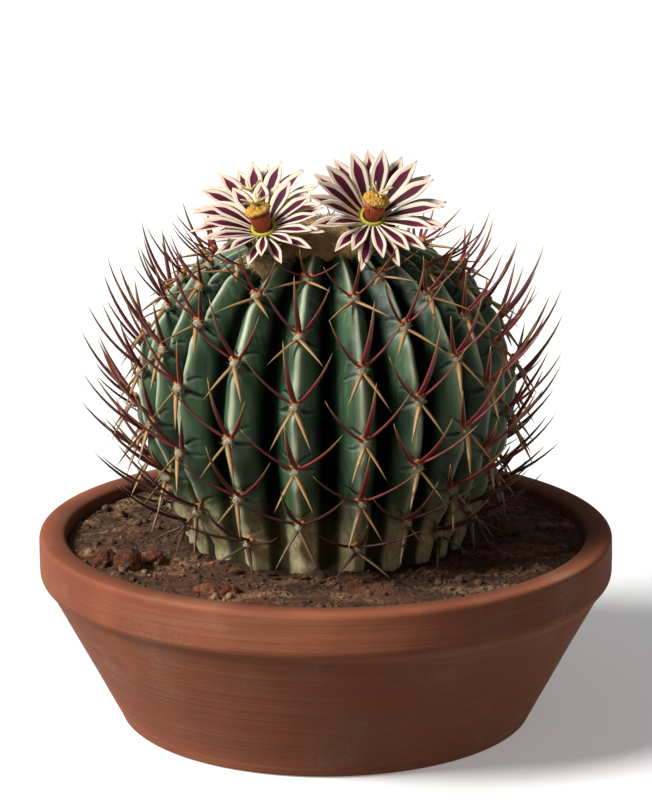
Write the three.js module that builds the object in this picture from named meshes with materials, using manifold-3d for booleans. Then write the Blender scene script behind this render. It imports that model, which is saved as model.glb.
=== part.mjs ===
// A potted cactus: a ribbed, globular stem with flat spines and three open blooms, growing in the soil of a
// plain clay pan. Millimetres, +Z up. The origin is under the middle of the pan, on the surface that the pan
// stands on, and the front of the plant looks towards -Y.

import * as THREE from "three";
import { mergeVertices } from "three/addons/utils/BufferGeometryUtils.js";
import Module from "manifold-3d";

const wasm = await Module();
wasm.setup();

// Driving dimensions of the pan

const PAN_HEIGHT = 56;
const PAN_RIM_RADIUS = 85;
const PAN_RIM_BAND = 15;
const PAN_BAND_STEP = 2.6;
const PAN_BASE_RADIUS = 61;
const PAN_WALL = 5.4;
const PAN_FLOOR = 6;
const PAN_FOOT_WIDTH = 9;
const PAN_FOOT_HEIGHT = 2;
const PAN_DRAIN_RADIUS = 7;
const PAN_EDGE = 1.2;
const PAN_FACETS = 40;

// Driving dimensions of the soil and its clods

const SOIL_LEVEL = 53;
const SOIL_FACETS = 36;
const SOIL_MOUND = 1.6;
const SOIL_RELIEF = 0.7;
const SOIL_FADE = 8;
const SOIL_RINGS = [0.91, 0.8, 0.69, 0.58];
const SOIL_CORNER = 5;
const CLOD_SINK = 0.3;
const CLOD_SIDES = 9;
const CLOD_LEVELS = [-0.75, -0.3, 0.25, 0.72];
const CLOD_POLE = 0.95;
const CLODS = [
  { name: "stone_left_outer", centre: [-64, -27], size: [4, 3.4, 3.2], seed: 21 },
  { name: "stone_left_middle", centre: [-56.5, -33], size: [4.4, 4, 4.6], seed: 22 },
  { name: "stone_left_inner", centre: [-50, -26.5], size: [3.6, 3.2, 3], seed: 23 },
  { name: "clod_front", centre: [-31, -53], size: [7, 3.2, 2], seed: 24 },
];

// Driving dimensions of the stem, in heights above the soil

const RIB_COUNT = 22;
const FRONT_RIB_DEGREES = [-88, -75, -62, -49, -29, -9, 11, 28, 44.5, 57, 70, 86];
const STEM_ROWS = 19;
const RIB_DEPTH_SHARE = 0.2;
const RIB_DEPTH_BY_HEIGHT = [[-5, 1], [0, 2.6], [12, 5], [25, 8.2], [40, 10], [62, 10.2], [80, 8.8]];
const CREST_LINE = [
  [0, -30], [9, -27], [24, -16], [36, -6], [41, 0], [42.2, 5], [45.5, 12], [50.5, 25], [54.6, 38], [55, 47],
  [53.4, 57], [50.4, 65], [46.4, 72], [42, 77.5], [37, 81.8], [31, 85.3], [25, 88], [19.5, 89.9], [14, 90.8],
  [8, 90.2], [0, 89.4],
];

// Driving dimensions of the areoles and spines

const AREOLE_HEIGHTS = [
  [9.5, 24.5, 42.5, 63, 79.5],
  [17, 34.5, 53.5, 72, 84.3],
];
const AREOLE_JITTER = 0.8;
const AREOLE_RADIUS = 1.7;
const AREOLE_SINK = 2.6;
const AREOLE_SHOULDER = 0.5;
const AREOLE_RISE = 1.5;
const AREOLE_TILT = 15;
const AREOLE_CORNERS = [-5, 65, 115, 185, 270];
const CENTRAL_SPINE = { length: 28, width: 1.77, thickness: 0.9, bend: 16 };
const SIDE_SPINE = { length: 24, width: 1.46, thickness: 0.8, splay: 52, bend: 12 };
const LOWER_SPINE = { length: 13.5, splay: 44 };
const SPINE_WAIST = 0.45;
const UPPER_VARIATION = { length: 0.06, turn: 6, rise: 5 };
const LOWER_VARIATION = { length: 0.08, turn: 7 };
const GROWTH = { least: 0.93, spread: 0.1 };
const CENTRAL_RISE_BY_HEIGHT = [[8, 30], [24, 42], [43, 53], [61, 58], [72, 60], [79.5, 58], [84.3, 38]];
const LENGTH_BY_HEIGHT = [[56, 1], [72, 0.82], [84.3, 0.62]];
const SIDE_RISE_DROP = 8;
const LOWER_FALL_BY_HEIGHT = [[58, 52], [63, 47], [72, 29], [79.5, 18], [84.3, 4]];
const LOWER_TIP_CLEARANCE = 3;
const SPINE_SEED = 1802;

// Driving dimensions of the crown wool and the blooms

const FIT_GAP = 0.35;
const WOOL_RADIUS = 21.5;
const WOOL_BASE = 84;
const WOOL_EDGE = 88.2;
const WOOL_RISE = 5.2;
const WOOL_TUFT = 0.8;
const WOOL_FACETS = 24;
const WOOL_RINGS = [0.9, 0.62, 0.3];
const TUBE_RADIUS = 4.2;
const TUBE_LENGTH = 18;
const TUBE_SIDES = 12;
const THROAT = { radius: 5.4, neck: -4, foot: -2.4, rim: 0.4, lip: 0.8, lipWidth: 0.6 };
const TEPAL_THICKNESS = 0.7;
const TEPAL_ROOT_RADIUS = 4.1;
const TEPAL_WIDTH_SHARE = 0.2;
const TEPAL_STATIONS = [
  { share: 0, width: 0.34, curl: 0 },
  { share: 0.6, width: 1, curl: 2 },
  { share: 0.84, width: 0.62, curl: 0 },
];
const TEPAL_TIP_CURL = -3;
const TEPAL_VARIATION = { turn: 2.5, length: 0.08, rise: 2 };
const WHORLS = [
  { rise: 25, length: 0.94, offset: 0, rootHeight: 0 },
  { rise: 17, length: 1.02, offset: 0.5, rootHeight: -1.5 },
];
const COLUMN = { bottom: 2, top: 3.3, height: 5, sink: 2.6, flutes: 10, fluteShare: 0.9, knee: 1, bend: 20 };
const HEAD = { radius: 3.6, height: 1.4, knobs: 8, holeShare: 0.35 };
const HEAD_RINGS = [
  { radius: 0.8, height: 0, knob: 0 },
  { radius: 1, height: 0.3, knob: 0.25 },
  { radius: 0.82, height: 0.72, knob: -0.25 },
  { radius: 0.45, height: 0.95, knob: 0.2 },
];
const STIGMA = { radius: 0.8, rise: 1.5, lobes: 7, lobeReach: 4, lobeRise: 2, lobeDepth: 0.9 };

const BLOOMS = [
  { name: "right", throat: [13.2, -18, 99.8], forward: 40, lean: 3, reach: 22, tepals: 13, seed: 5,
    columnTowards: 65,
    lifts: [
      { towards: 190, by: 17, spread: 75, shorten: 0.05 },
      { towards: 270, by: -8, spread: 50, shorten: 0.11 },
    ] },
  { name: "left_front", throat: [-17.6, -24, 97.6], forward: 32, lean: -9, reach: 19, tepals: 12, seed: 9,
    columnTowards: 115,
    lifts: [
      { towards: 0, by: -14, spread: 60, shorten: 0.1 },
      { towards: 90, by: -10, spread: 100, shorten: 0.05 },
      { towards: 214, by: 6, spread: 50, shorten: 0 },
    ] },
  { name: "left_rear", throat: [-20, 12, 94.5], forward: 28, lean: -12, reach: 21, tepals: 12, seed: 14,
    columnTowards: 100,
    lifts: [{ towards: 270, by: 24, spread: 80, shorten: 0.1 }] },
];

// Seeded numbers and small helpers

/** A repeatable stream of numbers from 0 to 1. */
function seededNumbers(seed) {
  let state = seed >>> 0;
  return () => {
    state = (Math.imul(state, 1664525) + 1013904223) >>> 0;
    return state / 4294967296;
  };
}

function radians(degrees) {
  return (degrees * Math.PI) / 180;
}

/** The value at x on straight lines between [x, value] pairs, held level past both ends. */
function alongPairs(pairs, x) {
  const after = pairs.findIndex(([px]) => px > x);
  if (after === 0) return pairs[0][1];
  if (after < 0) return pairs[pairs.length - 1][1];
  const [x0, v0] = pairs[after - 1];
  const [x1, v1] = pairs[after];
  return v0 + ((v1 - v0) * (x - x0)) / (x1 - x0);
}

function polar(radius, angle, z) {
  return new THREE.Vector3(radius * Math.cos(angle), radius * Math.sin(angle), z);
}

// Solids

/** A closed body through rings of equal count, with a point at each end. */
function loft(startPoint, rings, endPoint) {
  const count = rings[0].length;
  const points = [startPoint, ...rings.flat(), endPoint];
  const last = points.length - 1;
  const triangles = [];
  for (let i = 0; i < count; i += 1) {
    const j = (i + 1) % count;
    triangles.push(0, 1 + j, 1 + i);
    for (let ring = 0; ring < rings.length - 1; ring += 1) {
      const low = 1 + ring * count;
      const high = low + count;
      triangles.push(low + i, low + j, high + j, low + i, high + j, high + i);
    }
    const top = 1 + (rings.length - 1) * count;
    triangles.push(last, top + i, top + j);
  }
  return solidFromArrays(points.flatMap((p) => p.toArray()), triangles);
}

/** Six times the volume inside closed triangles, below zero where they face inwards. */
function signedVolume(positions, triangles) {
  const corner = (index) => new THREE.Vector3().fromArray(positions, 3 * triangles[index]);
  let sum = 0;
  for (let i = 0; i < triangles.length; i += 3) {
    sum += corner(i).dot(corner(i + 1).cross(corner(i + 2)));
  }
  return sum;
}

function solidFromArrays(positions, triangles) {
  const facesIn = signedVolume(positions, triangles) < 0;
  return new wasm.Manifold(new wasm.Mesh({
    numProp: 3,
    vertProperties: Float32Array.from(positions),
    triVerts: facesIn ? Uint32Array.from(triangles).reverse() : Uint32Array.from(triangles),
  }));
}

function solidFromGeometry(source) {
  const bare = source.clone();
  bare.deleteAttribute("normal");
  bare.deleteAttribute("uv");
  const merged = mergeVertices(bare, 1e-4);
  return solidFromArrays(merged.getAttribute("position").array, merged.getIndex().array);
}

function geometryFromSolid(solid) {
  const mesh = solid.getMesh();
  const geometry = new THREE.BufferGeometry();
  geometry.setAttribute("position", new THREE.BufferAttribute(Float32Array.from(mesh.vertProperties), 3));
  geometry.setIndex(new THREE.BufferAttribute(Uint32Array.from(mesh.triVerts), 1));
  geometry.computeVertexNormals();
  return geometry;
}

function joined(solids) {
  return wasm.Manifold.union(solids);
}

/** A body turned about Z from an outline of [radius, height] pairs. */
function turned(outline, facets) {
  const profile = outline.map(([radius, height]) => new THREE.Vector2(radius, height));
  const geometry = new THREE.LatheGeometry(profile, facets);
  geometry.rotateX(Math.PI / 2);
  return solidFromGeometry(geometry);
}

// The pan

function panOuterRadius(height) {
  const slope = (PAN_RIM_RADIUS - PAN_BAND_STEP - PAN_BASE_RADIUS) / (PAN_HEIGHT - PAN_RIM_BAND);
  return PAN_BASE_RADIUS + slope * Math.min(height, PAN_HEIGHT - PAN_RIM_BAND);
}

function panInnerRadius(height) {
  return panOuterRadius(height) - PAN_WALL;
}

function makePan() {
  const bandFoot = PAN_HEIGHT - PAN_RIM_BAND;
  const footInner = PAN_BASE_RADIUS - PAN_FOOT_WIDTH;
  const outline = [
    [PAN_DRAIN_RADIUS, PAN_FOOT_HEIGHT],
    [footInner - PAN_EDGE, PAN_FOOT_HEIGHT],
    [footInner, 0],
    [PAN_BASE_RADIUS - PAN_EDGE, 0],
    [panOuterRadius(PAN_EDGE), PAN_EDGE],
    [panOuterRadius(bandFoot), bandFoot],
    [PAN_RIM_RADIUS, bandFoot + PAN_BAND_STEP],
    [PAN_RIM_RADIUS, PAN_HEIGHT - PAN_EDGE],
    [PAN_RIM_RADIUS - PAN_EDGE, PAN_HEIGHT],
    [panInnerRadius(PAN_HEIGHT) + PAN_EDGE, PAN_HEIGHT],
    [panInnerRadius(PAN_HEIGHT), PAN_HEIGHT - PAN_EDGE],
    [panInnerRadius(bandFoot), bandFoot],
    [panInnerRadius(PAN_FLOOR + SOIL_CORNER), PAN_FLOOR + SOIL_CORNER],
    [panInnerRadius(PAN_FLOOR) - SOIL_CORNER, PAN_FLOOR],
    [PAN_DRAIN_RADIUS, PAN_FLOOR],
    [PAN_DRAIN_RADIUS, PAN_FOOT_HEIGHT],
  ];
  return turned(outline, PAN_FACETS);
}

// The stem

const crestCurve = new THREE.SplineCurve(CREST_LINE.map((point) => new THREE.Vector2(...point)));
const crestSamples = crestCurve.getPoints(400);

/** The crest radius at a height on the outside of the stem, below its crown. */
function crestRadius(height) {
  const outside = crestSamples.filter((point) => point.x >= 24);
  return alongPairs(outside.map((point) => [point.y, point.x]), height);
}

/** Angles of the rib crests, counter-clockwise from +X: the front ones as they grew, the back ones even. */
function ribAngles() {
  const front = FRONT_RIB_DEGREES;
  const backCount = RIB_COUNT - front.length;
  const backArc = 360 - (front[front.length - 1] - front[0]);
  const back = Array.from({ length: backCount }, (_, i) => {
    return front[front.length - 1] + (backArc * (i + 1)) / (backCount + 1);
  });
  return [...front, ...back].map((degrees) => radians(degrees - 90));
}

function ribDepth(radius, height) {
  return Math.min(RIB_DEPTH_SHARE * radius, alongPairs(RIB_DEPTH_BY_HEIGHT, height));
}

/** A plain round body just outside the rib crests, for cutting the seats of the stem's neighbours. */
function makeStemSeat() {
  const rows = Array.from({ length: STEM_ROWS + 1 }, (_, i) => {
    const share = i / STEM_ROWS;
    const point = crestCurve.getPointAt(share);
    const tangent = crestCurve.getTangentAt(share);
    const radius = (point.x + tangent.y * FIT_GAP) / Math.cos(Math.PI / SOIL_FACETS);
    return [share === 0 || share === 1 ? 0 : radius, point.y - tangent.x * FIT_GAP + SOIL_LEVEL];
  });
  return turned(rows, SOIL_FACETS);
}

/** The ribbed body of the stem and its buried root. */
function makeStemBody() {
  const crests = ribAngles();
  const columns = crests.flatMap((crest, i) => {
    const next = i + 1 < crests.length ? crests[i + 1] : crests[0] + 2 * Math.PI;
    return [0, 0.25, 0.5, 0.75].map((share) => ({
      angle: crest + (next - crest) * share,
      valley: 1 - Math.abs(1 - 2 * share),
    }));
  });
  const rings = [];
  for (let row = 1; row < STEM_ROWS; row += 1) {
    const share = row / STEM_ROWS;
    const point = crestCurve.getPointAt(share);
    const tangent = crestCurve.getTangentAt(share);
    const inward = new THREE.Vector2(-tangent.y, tangent.x);
    const depth = ribDepth(point.x, point.y);
    rings.push(columns.map(({ angle, valley }) => {
      const offset = depth * valley;
      return polar(point.x + inward.x * offset, angle, point.y + inward.y * offset + SOIL_LEVEL);
    }));
  }
  const tip = new THREE.Vector3(0, 0, CREST_LINE[0][1] + SOIL_LEVEL);
  const crown = new THREE.Vector3(0, 0, CREST_LINE[CREST_LINE.length - 1][1] + SOIL_LEVEL);
  return loft(tip, rings, crown);
}

// Areoles and spines

/** The direction of a line that rises by elevation from the horizontal, at an angle round +Z. */
function heading(angle, elevation) {
  return new THREE.Vector3(
    Math.cos(elevation) * Math.cos(angle),
    Math.cos(elevation) * Math.sin(angle),
    Math.sin(elevation),
  );
}

/** A three-cornered section of a spine: its two flat corners, then its keel. */
function spineSection(centre, angle, elevation, width, thickness) {
  const half = new THREE.Vector3(-Math.sin(angle), Math.cos(angle), 0).multiplyScalar(width / 2);
  const keel = heading(angle, elevation - Math.PI / 2).multiplyScalar(thickness);
  return [centre.clone().add(half), centre.clone().sub(half), centre.clone().add(keel)];
}

/**
 * One areole as a single body: a five-sided woolly pad, half sunk in the crest, whose five front faces each
 * grow out into a spine, two slender ones below and three long ones above that bend upwards.
 */
function makeSpineCluster(angle, height, random) {
  const vary = (amount) => (random() * 2 - 1) * amount;
  const crest = polar(crestRadius(height), angle, height + SOIL_LEVEL);
  const outward = heading(angle, radians(AREOLE_TILT));
  const across = new THREE.Vector3(-Math.sin(angle), Math.cos(angle), 0);
  const upward = heading(angle, radians(AREOLE_TILT + 90));
  const onPad = (degrees, rise) => crest.clone()
    .addScaledVector(outward, rise)
    .addScaledVector(across, AREOLE_RADIUS * Math.cos(radians(degrees)))
    .addScaledVector(upward, AREOLE_RADIUS * Math.sin(radians(degrees)));
  const centre = crest.clone().addScaledVector(outward, AREOLE_RISE);
  const points = [
    crest.clone().addScaledVector(outward, -AREOLE_SINK),
    ...AREOLE_CORNERS.map((degrees) => onPad(degrees, AREOLE_SHOULDER)),
    centre,
  ];
  const corners = AREOLE_CORNERS.length;
  const front = points.length - 1;
  const triangles = [];
  for (let i = 0; i < corners; i += 1) {
    const j = (i + 1) % corners;
    triangles.push(0, 1 + j, 1 + i);
  }
  const rise = alongPairs(CENTRAL_RISE_BY_HEIGHT, height);
  const grown = alongPairs(LENGTH_BY_HEIGHT, height) * (GROWTH.least + GROWTH.spread * random());
  const upper = [
    { face: 0, size: SIDE_SPINE, turn: SIDE_SPINE.splay, elevation: rise - SIDE_RISE_DROP },
    { face: 1, size: CENTRAL_SPINE, turn: 0, elevation: rise },
    { face: 2, size: SIDE_SPINE, turn: -SIDE_SPINE.splay, elevation: rise - SIDE_RISE_DROP },
  ];
  for (const { face, size, turn, elevation } of upper) {
    const length = size.length * grown * (1 + vary(UPPER_VARIATION.length));
    const way = angle + radians(turn + vary(UPPER_VARIATION.turn));
    const tilt = radians(elevation + vary(UPPER_VARIATION.rise));
    const bend = radians(size.bend);
    const waist = centre.clone().addScaledVector(heading(way, tilt - bend / 2), length * SPINE_WAIST);
    const tip = waist.clone().addScaledVector(heading(way, tilt + bend / 2), length * (1 - SPINE_WAIST));
    const root = [1 + face, 1 + ((face + 1) % corners), front];
    const section = points.length;
    points.push(...spineSection(waist, way, tilt, size.width, size.thickness), tip);
    for (let i = 0; i < 3; i += 1) {
      const j = (i + 1) % 3;
      triangles.push(root[i], root[j], section + j, root[i], section + j, section + i);
      triangles.push(section + i, section + j, section + 3);
    }
  }
  const lower = [{ face: 3, turn: -LOWER_SPINE.splay }, { face: 4, turn: LOWER_SPINE.splay }];
  for (const { face, turn } of lower) {
    const length = LOWER_SPINE.length * (1 + vary(LOWER_VARIATION.length));
    const fall = length * Math.sin(radians(alongPairs(LOWER_FALL_BY_HEIGHT, height)));
    const drop = Math.min(fall, height - LOWER_TIP_CLEARANCE);
    const way = angle + radians(turn + vary(LOWER_VARIATION.turn));
    const root = [1 + face, 1 + ((face + 1) % corners), front];
    points.push(centre.clone().addScaledVector(heading(way, -Math.asin(drop / length)), length));
    for (let i = 0; i < 3; i += 1) {
      triangles.push(root[i], root[(i + 1) % 3], points.length - 1);
    }
  }
  return solidFromArrays(points.flatMap((point) => point.toArray()), triangles);
}

function makeStem() {
  const random = seededNumbers(SPINE_SEED);
  const clusters = ribAngles().flatMap((angle, rib) => AREOLE_HEIGHTS[rib % 2].map((height) => {
    const jittered = height + (random() * 2 - 1) * AREOLE_JITTER;
    return makeSpineCluster(angle, jittered, random);
  }));
  return joined([makeStemBody(), ...clusters]);
}

// The blooms

/** The turn and place that carry a bloom from its own axis on +Z to where it grows. */
function bloomPlace(bloom) {
  const forward = radians(bloom.forward);
  const lean = radians(bloom.lean);
  const axis = new THREE.Vector3(
    Math.sin(lean),
    -Math.sin(forward) * Math.cos(lean),
    Math.cos(forward) * Math.cos(lean),
  );
  const turn = new THREE.Quaternion().setFromUnitVectors(new THREE.Vector3(0, 0, 1), axis);
  const [x, y, z] = bloom.throat;
  const throat = new THREE.Vector3(x, y, z + SOIL_LEVEL);
  return new THREE.Matrix4().makeRotationFromQuaternion(turn).setPosition(throat);
}

function placed(solid, place) {
  return solid.transform(place.elements);
}

/** The turn that bends a bloom's column at its knee, away from the bloom's own axis. */
function columnBend(bloom) {
  const towards = radians(bloom.columnTowards);
  const axis = new THREE.Vector3(-Math.sin(towards), Math.cos(towards), 0);
  return new THREE.Matrix4().makeTranslation(0, 0, COLUMN.knee)
    .multiply(new THREE.Matrix4().makeRotationAxis(axis, radians(COLUMN.bend)))
    .multiply(new THREE.Matrix4().makeTranslation(0, 0, -COLUMN.knee));
}

/** The turn and place of what stands on the bent column of a bloom. */
function columnPlace(bloom) {
  return bloomPlace(bloom).multiply(columnBend(bloom));
}

/** How much a tepal at an angle is moved by a neighbouring bloom, from 0 to 1 for each of the lifts. */
function liftShares(bloom, angleDegrees) {
  return bloom.lifts.map((lift) => {
    const apart = Math.abs(((angleDegrees - lift.towards + 540) % 360) - 180);
    return Math.max(0, 1 - apart / lift.spread);
  });
}

/** One pointed tepal from the throat outwards, curling back towards its tip. */
function makeTepal(angle, rise, length, width, rootHeight) {
  const across = new THREE.Vector3(-Math.sin(angle), Math.cos(angle), 0);
  const along = (share, curl) => {
    const slope = rise + radians(curl);
    return polar(TEPAL_ROOT_RADIUS + length * share * Math.cos(slope), angle,
      rootHeight + length * share * Math.sin(slope));
  };
  const up = heading(angle, rise + Math.PI / 2).multiplyScalar(TEPAL_THICKNESS / 2);
  const rings = TEPAL_STATIONS.map((station) => {
    const centre = along(station.share, station.curl);
    const half = (width * station.width) / 2;
    return [[-half, -1], [half, -1], [half, 1], [-half, 1]].map(([side, level]) => {
      return centre.clone().addScaledVector(across, side).addScaledVector(up, level);
    });
  });
  return loft(along(0, 0), rings, along(1, TEPAL_TIP_CURL));
}

/** The flower tube with its open throat. */
function makeTube() {
  const socket = COLUMN.bottom + FIT_GAP;
  return turned([
    [0, -TUBE_LENGTH],
    [TUBE_RADIUS * 0.9, -TUBE_LENGTH],
    [TUBE_RADIUS, -TUBE_LENGTH * 0.5],
    [TUBE_RADIUS, THROAT.neck],
    [THROAT.radius, THROAT.foot],
    [THROAT.radius, THROAT.rim],
    [socket + THROAT.lipWidth, THROAT.lip],
    [socket, 0],
    [socket, -COLUMN.sink],
    [0, -COLUMN.sink],
  ], TUBE_SIDES);
}

function makeTepals(bloom, stemSeat) {
  const random = seededNumbers(bloom.seed);
  const vary = (amount) => (random() * 2 - 1) * amount;
  const solids = [makeTube()];
  for (const whorl of WHORLS) {
    for (let i = 0; i < bloom.tepals; i += 1) {
      const degrees = ((i + whorl.offset) * 360) / bloom.tepals + vary(TEPAL_VARIATION.turn);
      const shares = liftShares(bloom, degrees);
      const lift = shares.reduce((sum, share, k) => sum + share * bloom.lifts[k].by, 0);
      const kept = shares.reduce((sum, share, k) => sum - share * bloom.lifts[k].shorten, 1);
      const grown = whorl.length * (1 + vary(TEPAL_VARIATION.length / 2));
      const length = (bloom.reach - TEPAL_ROOT_RADIUS) * grown * kept;
      const rise = radians(whorl.rise + lift + vary(TEPAL_VARIATION.rise));
      const width = bloom.reach * TEPAL_WIDTH_SHARE;
      solids.push(makeTepal(radians(degrees), rise, length, width, whorl.rootHeight));
    }
  }
  return placed(joined(solids), bloomPlace(bloom)).subtract(stemSeat);
}

/** The red column of filaments, fluted, standing in the throat, bent above it and flaring to the anthers. */
function makeFilaments(bloom) {
  const ring = (radius, z) => Array.from({ length: COLUMN.flutes * 2 }, (_, i) => {
    return polar(radius * (i % 2 ? COLUMN.fluteShare : 1), (i * Math.PI) / COLUMN.flutes, z);
  });
  const foot = -COLUMN.sink + FIT_GAP;
  const bend = columnBend(bloom);
  const rings = [
    ring(COLUMN.bottom, foot),
    ring(COLUMN.bottom, COLUMN.knee),
    ring(COLUMN.top, COLUMN.height).map((point) => point.applyMatrix4(bend)),
  ];
  const top = new THREE.Vector3(0, 0, COLUMN.height).applyMatrix4(bend);
  return placed(loft(new THREE.Vector3(0, 0, foot), rings, top), bloomPlace(bloom));
}

/** The golden head of anthers, a knobbly dome on the column, with a plain hole for the style. */
function makeAnthers(bloom) {
  const base = COLUMN.height + FIT_GAP;
  const rings = HEAD_RINGS.map(({ radius, height, knob }) => {
    return Array.from({ length: HEAD.knobs * 2 }, (_, i) => {
      const swell = i % 2 ? knob : -knob;
      const lift = i % 2 ? knob / 2 : 0;
      const angle = (i * Math.PI) / HEAD.knobs;
      return polar(HEAD.radius * radius + swell, angle, base + HEAD.height * height + lift);
    });
  });
  const top = new THREE.Vector3(0, 0, base + HEAD.height);
  const dome = loft(new THREE.Vector3(0, 0, base), rings, top);
  const holeFoot = base + HEAD.height * HEAD.holeShare;
  const holeTop = base + HEAD.height + 1;
  const holeRadius = STIGMA.radius + FIT_GAP;
  const hole = turned([[0, holeFoot], [holeRadius, holeFoot], [holeRadius, holeTop], [0, holeTop]], 8);
  return placed(dome.subtract(hole), columnPlace(bloom));
}

/** The style that stands in the head, with a spread lobe grown from each of its upper faces. */
function makeStigma(bloom) {
  const base = COLUMN.height + FIT_GAP + HEAD.height * HEAD.holeShare + FIT_GAP;
  const top = COLUMN.height + FIT_GAP + HEAD.height + STIGMA.rise;
  const ring = (height) => Array.from({ length: STIGMA.lobes }, (_, i) => {
    return polar(STIGMA.radius, (i * 2 * Math.PI) / STIGMA.lobes, height);
  });
  const tips = Array.from({ length: STIGMA.lobes }, (_, i) => {
    const angle = ((i + 0.5) * 2 * Math.PI) / STIGMA.lobes;
    return polar(STIGMA.lobeReach, angle, top + STIGMA.lobeRise);
  });
  const points = [
    new THREE.Vector3(0, 0, base), ...ring(base), ...ring(top - STIGMA.lobeDepth), ...ring(top), ...tips,
    new THREE.Vector3(0, 0, top),
  ];
  const count = STIGMA.lobes;
  const triangles = [];
  for (let i = 0; i < count; i += 1) {
    const j = (i + 1) % count;
    const [foot, footNext] = [1 + i, 1 + j];
    const [neck, neckNext] = [foot + count, footNext + count];
    const [rim, rimNext] = [neck + count, neckNext + count];
    const tip = rim + count;
    triangles.push(0, footNext, foot, foot, footNext, neckNext, foot, neckNext, neck);
    triangles.push(neck, neckNext, tip, neckNext, rimNext, tip, rimNext, rim, tip, rim, neck, tip);
    triangles.push(rim, rimNext, points.length - 1);
  }
  return placed(solidFromArrays(points.flatMap((point) => point.toArray()), triangles), columnPlace(bloom));
}

// The crown wool

/** The low, tufted cushion of wool that fills the crown, cut clear of the stem and of each flower tube. */
function makeCrownWool(stemSeat) {
  const ring = (share, z, tuft) => Array.from({ length: WOOL_FACETS }, (_, i) => {
    const angle = (i * 2 * Math.PI) / WOOL_FACETS;
    const wave = Math.sin(i * 2.4 + share * 9) * tuft;
    return polar(WOOL_RADIUS * share * (1 + 0.04 * Math.sin(3 * angle)), angle, SOIL_LEVEL + z + wave);
  });
  const crownHeight = (share) => WOOL_EDGE + WOOL_RISE * Math.sqrt(1 - share * share);
  const rings = [
    ring(1, WOOL_BASE, 0),
    ring(1, WOOL_EDGE, WOOL_TUFT),
    ...WOOL_RINGS.map((share) => ring(share, crownHeight(share), WOOL_TUFT)),
  ];
  const bottom = new THREE.Vector3(0, 0, SOIL_LEVEL + WOOL_BASE);
  const top = new THREE.Vector3(0, 0, SOIL_LEVEL + crownHeight(0));
  const neckRadius = TUBE_RADIUS + FIT_GAP;
  const mouthRadius = THROAT.radius + FIT_GAP * 2;
  const tubeHole = turned([
    [0, -TUBE_LENGTH - WOOL_RISE],
    [neckRadius, -TUBE_LENGTH - WOOL_RISE],
    [neckRadius, THROAT.neck],
    [mouthRadius, THROAT.foot],
    [mouthRadius, WOOL_RISE],
    [0, WOOL_RISE],
  ], TUBE_SIDES);
  const holes = BLOOMS.map((bloom) => placed(tubeHole, bloomPlace(bloom)));
  return loft(bottom, rings, top).subtract(joined([stemSeat, ...holes]));
}

// Soil and clods

/** The height of the soil's surface: a low mound with gentle waves that fade out towards the pan. */
function soilHeight(x, y) {
  const radius = Math.hypot(x, y);
  const inner = panInnerRadius(SOIL_LEVEL);
  const mound = SOIL_MOUND * (1 - radius / inner);
  const longWave = Math.sin(x * 0.21 + 1.3) * Math.cos(y * 0.17 - 0.4);
  const shortWave = 0.5 * Math.sin(x * 0.43 - y * 0.37);
  const fade = Math.min(1, (inner - radius) / SOIL_FADE);
  return SOIL_LEVEL - SOIL_MOUND / 2 + mound + SOIL_RELIEF * (longWave + shortWave) * fade;
}

/** A rough clod with its lower part bedded in the soil, or the socket for it if it is grown by a gap. */
function makeClod(clod, grow) {
  const random = seededNumbers(clod.seed);
  const [x, y] = clod.centre;
  const [rx, ry, rz] = clod.size;
  const z = soilHeight(x, y) + rz * CLOD_SINK;
  const rings = CLOD_LEVELS.map((level) => Array.from({ length: CLOD_SIDES }, (_, i) => {
    const angle = (i * 2 * Math.PI) / CLOD_SIDES;
    const radius = Math.sqrt(1 - level * level) * (0.82 + 0.3 * random());
    return new THREE.Vector3(
      x + (rx * radius + grow) * Math.cos(angle),
      y + (ry * radius + grow) * Math.sin(angle),
      z + rz * level + grow * level,
    );
  }));
  const bottom = new THREE.Vector3(x, y, z - rz * CLOD_POLE - grow);
  const top = new THREE.Vector3(x, y, z + rz * CLOD_POLE + grow);
  return loft(bottom, rings, top);
}

function makeSoil(stemSeat) {
  const floor = PAN_FLOOR + FIT_GAP;
  const edge = panInnerRadius(SOIL_LEVEL) - FIT_GAP;
  const ring = (radius, height) => Array.from({ length: SOIL_FACETS }, (_, i) => {
    const point = polar(radius, (i * 2 * Math.PI) / SOIL_FACETS, 0);
    return point.setZ(height === null ? soilHeight(point.x, point.y) : height);
  });
  const corner = PAN_FLOOR + SOIL_CORNER;
  const rings = [
    ring(panInnerRadius(PAN_FLOOR) - SOIL_CORNER - FIT_GAP, floor),
    ring(panInnerRadius(corner) - FIT_GAP - 0.1, corner),
    ring(edge, null),
    ...SOIL_RINGS.map((share) => ring(edge * share, null)),
  ];
  const body = loft(new THREE.Vector3(0, 0, floor), rings, new THREE.Vector3(0, 0, SOIL_LEVEL));
  const sockets = CLODS.map((clod) => makeClod(clod, FIT_GAP));
  return body.subtract(joined([stemSeat, ...sockets]));
}

// Finishes

function finish(color, roughness) {
  return new THREE.MeshStandardMaterial({ color, roughness, metalness: 0 });
}

const CLAY = finish(0xb5673f, 0.85);
const EARTH = finish(0x5b4632, 0.95);
const CLOD_EARTH = finish(0x9a5f38, 0.95);
const GREEN_SKIN = finish(0x3a6b4c, 0.55);
const WOOL = finish(0xa87c4f, 0.95);
const TEPAL = finish(0xe9b9b4, 0.6);
const FILAMENT = finish(0xb8432f, 0.6);
const ANTHER = finish(0xe0a93a, 0.8);
const STIGMA_YELLOW = finish(0xeed58a, 0.6);

// The whole plant in its pan

const part = new THREE.Group();

function addPiece(name, solid, material) {
  const mesh = new THREE.Mesh(geometryFromSolid(solid), material);
  mesh.name = name;
  part.add(mesh);
}

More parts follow.
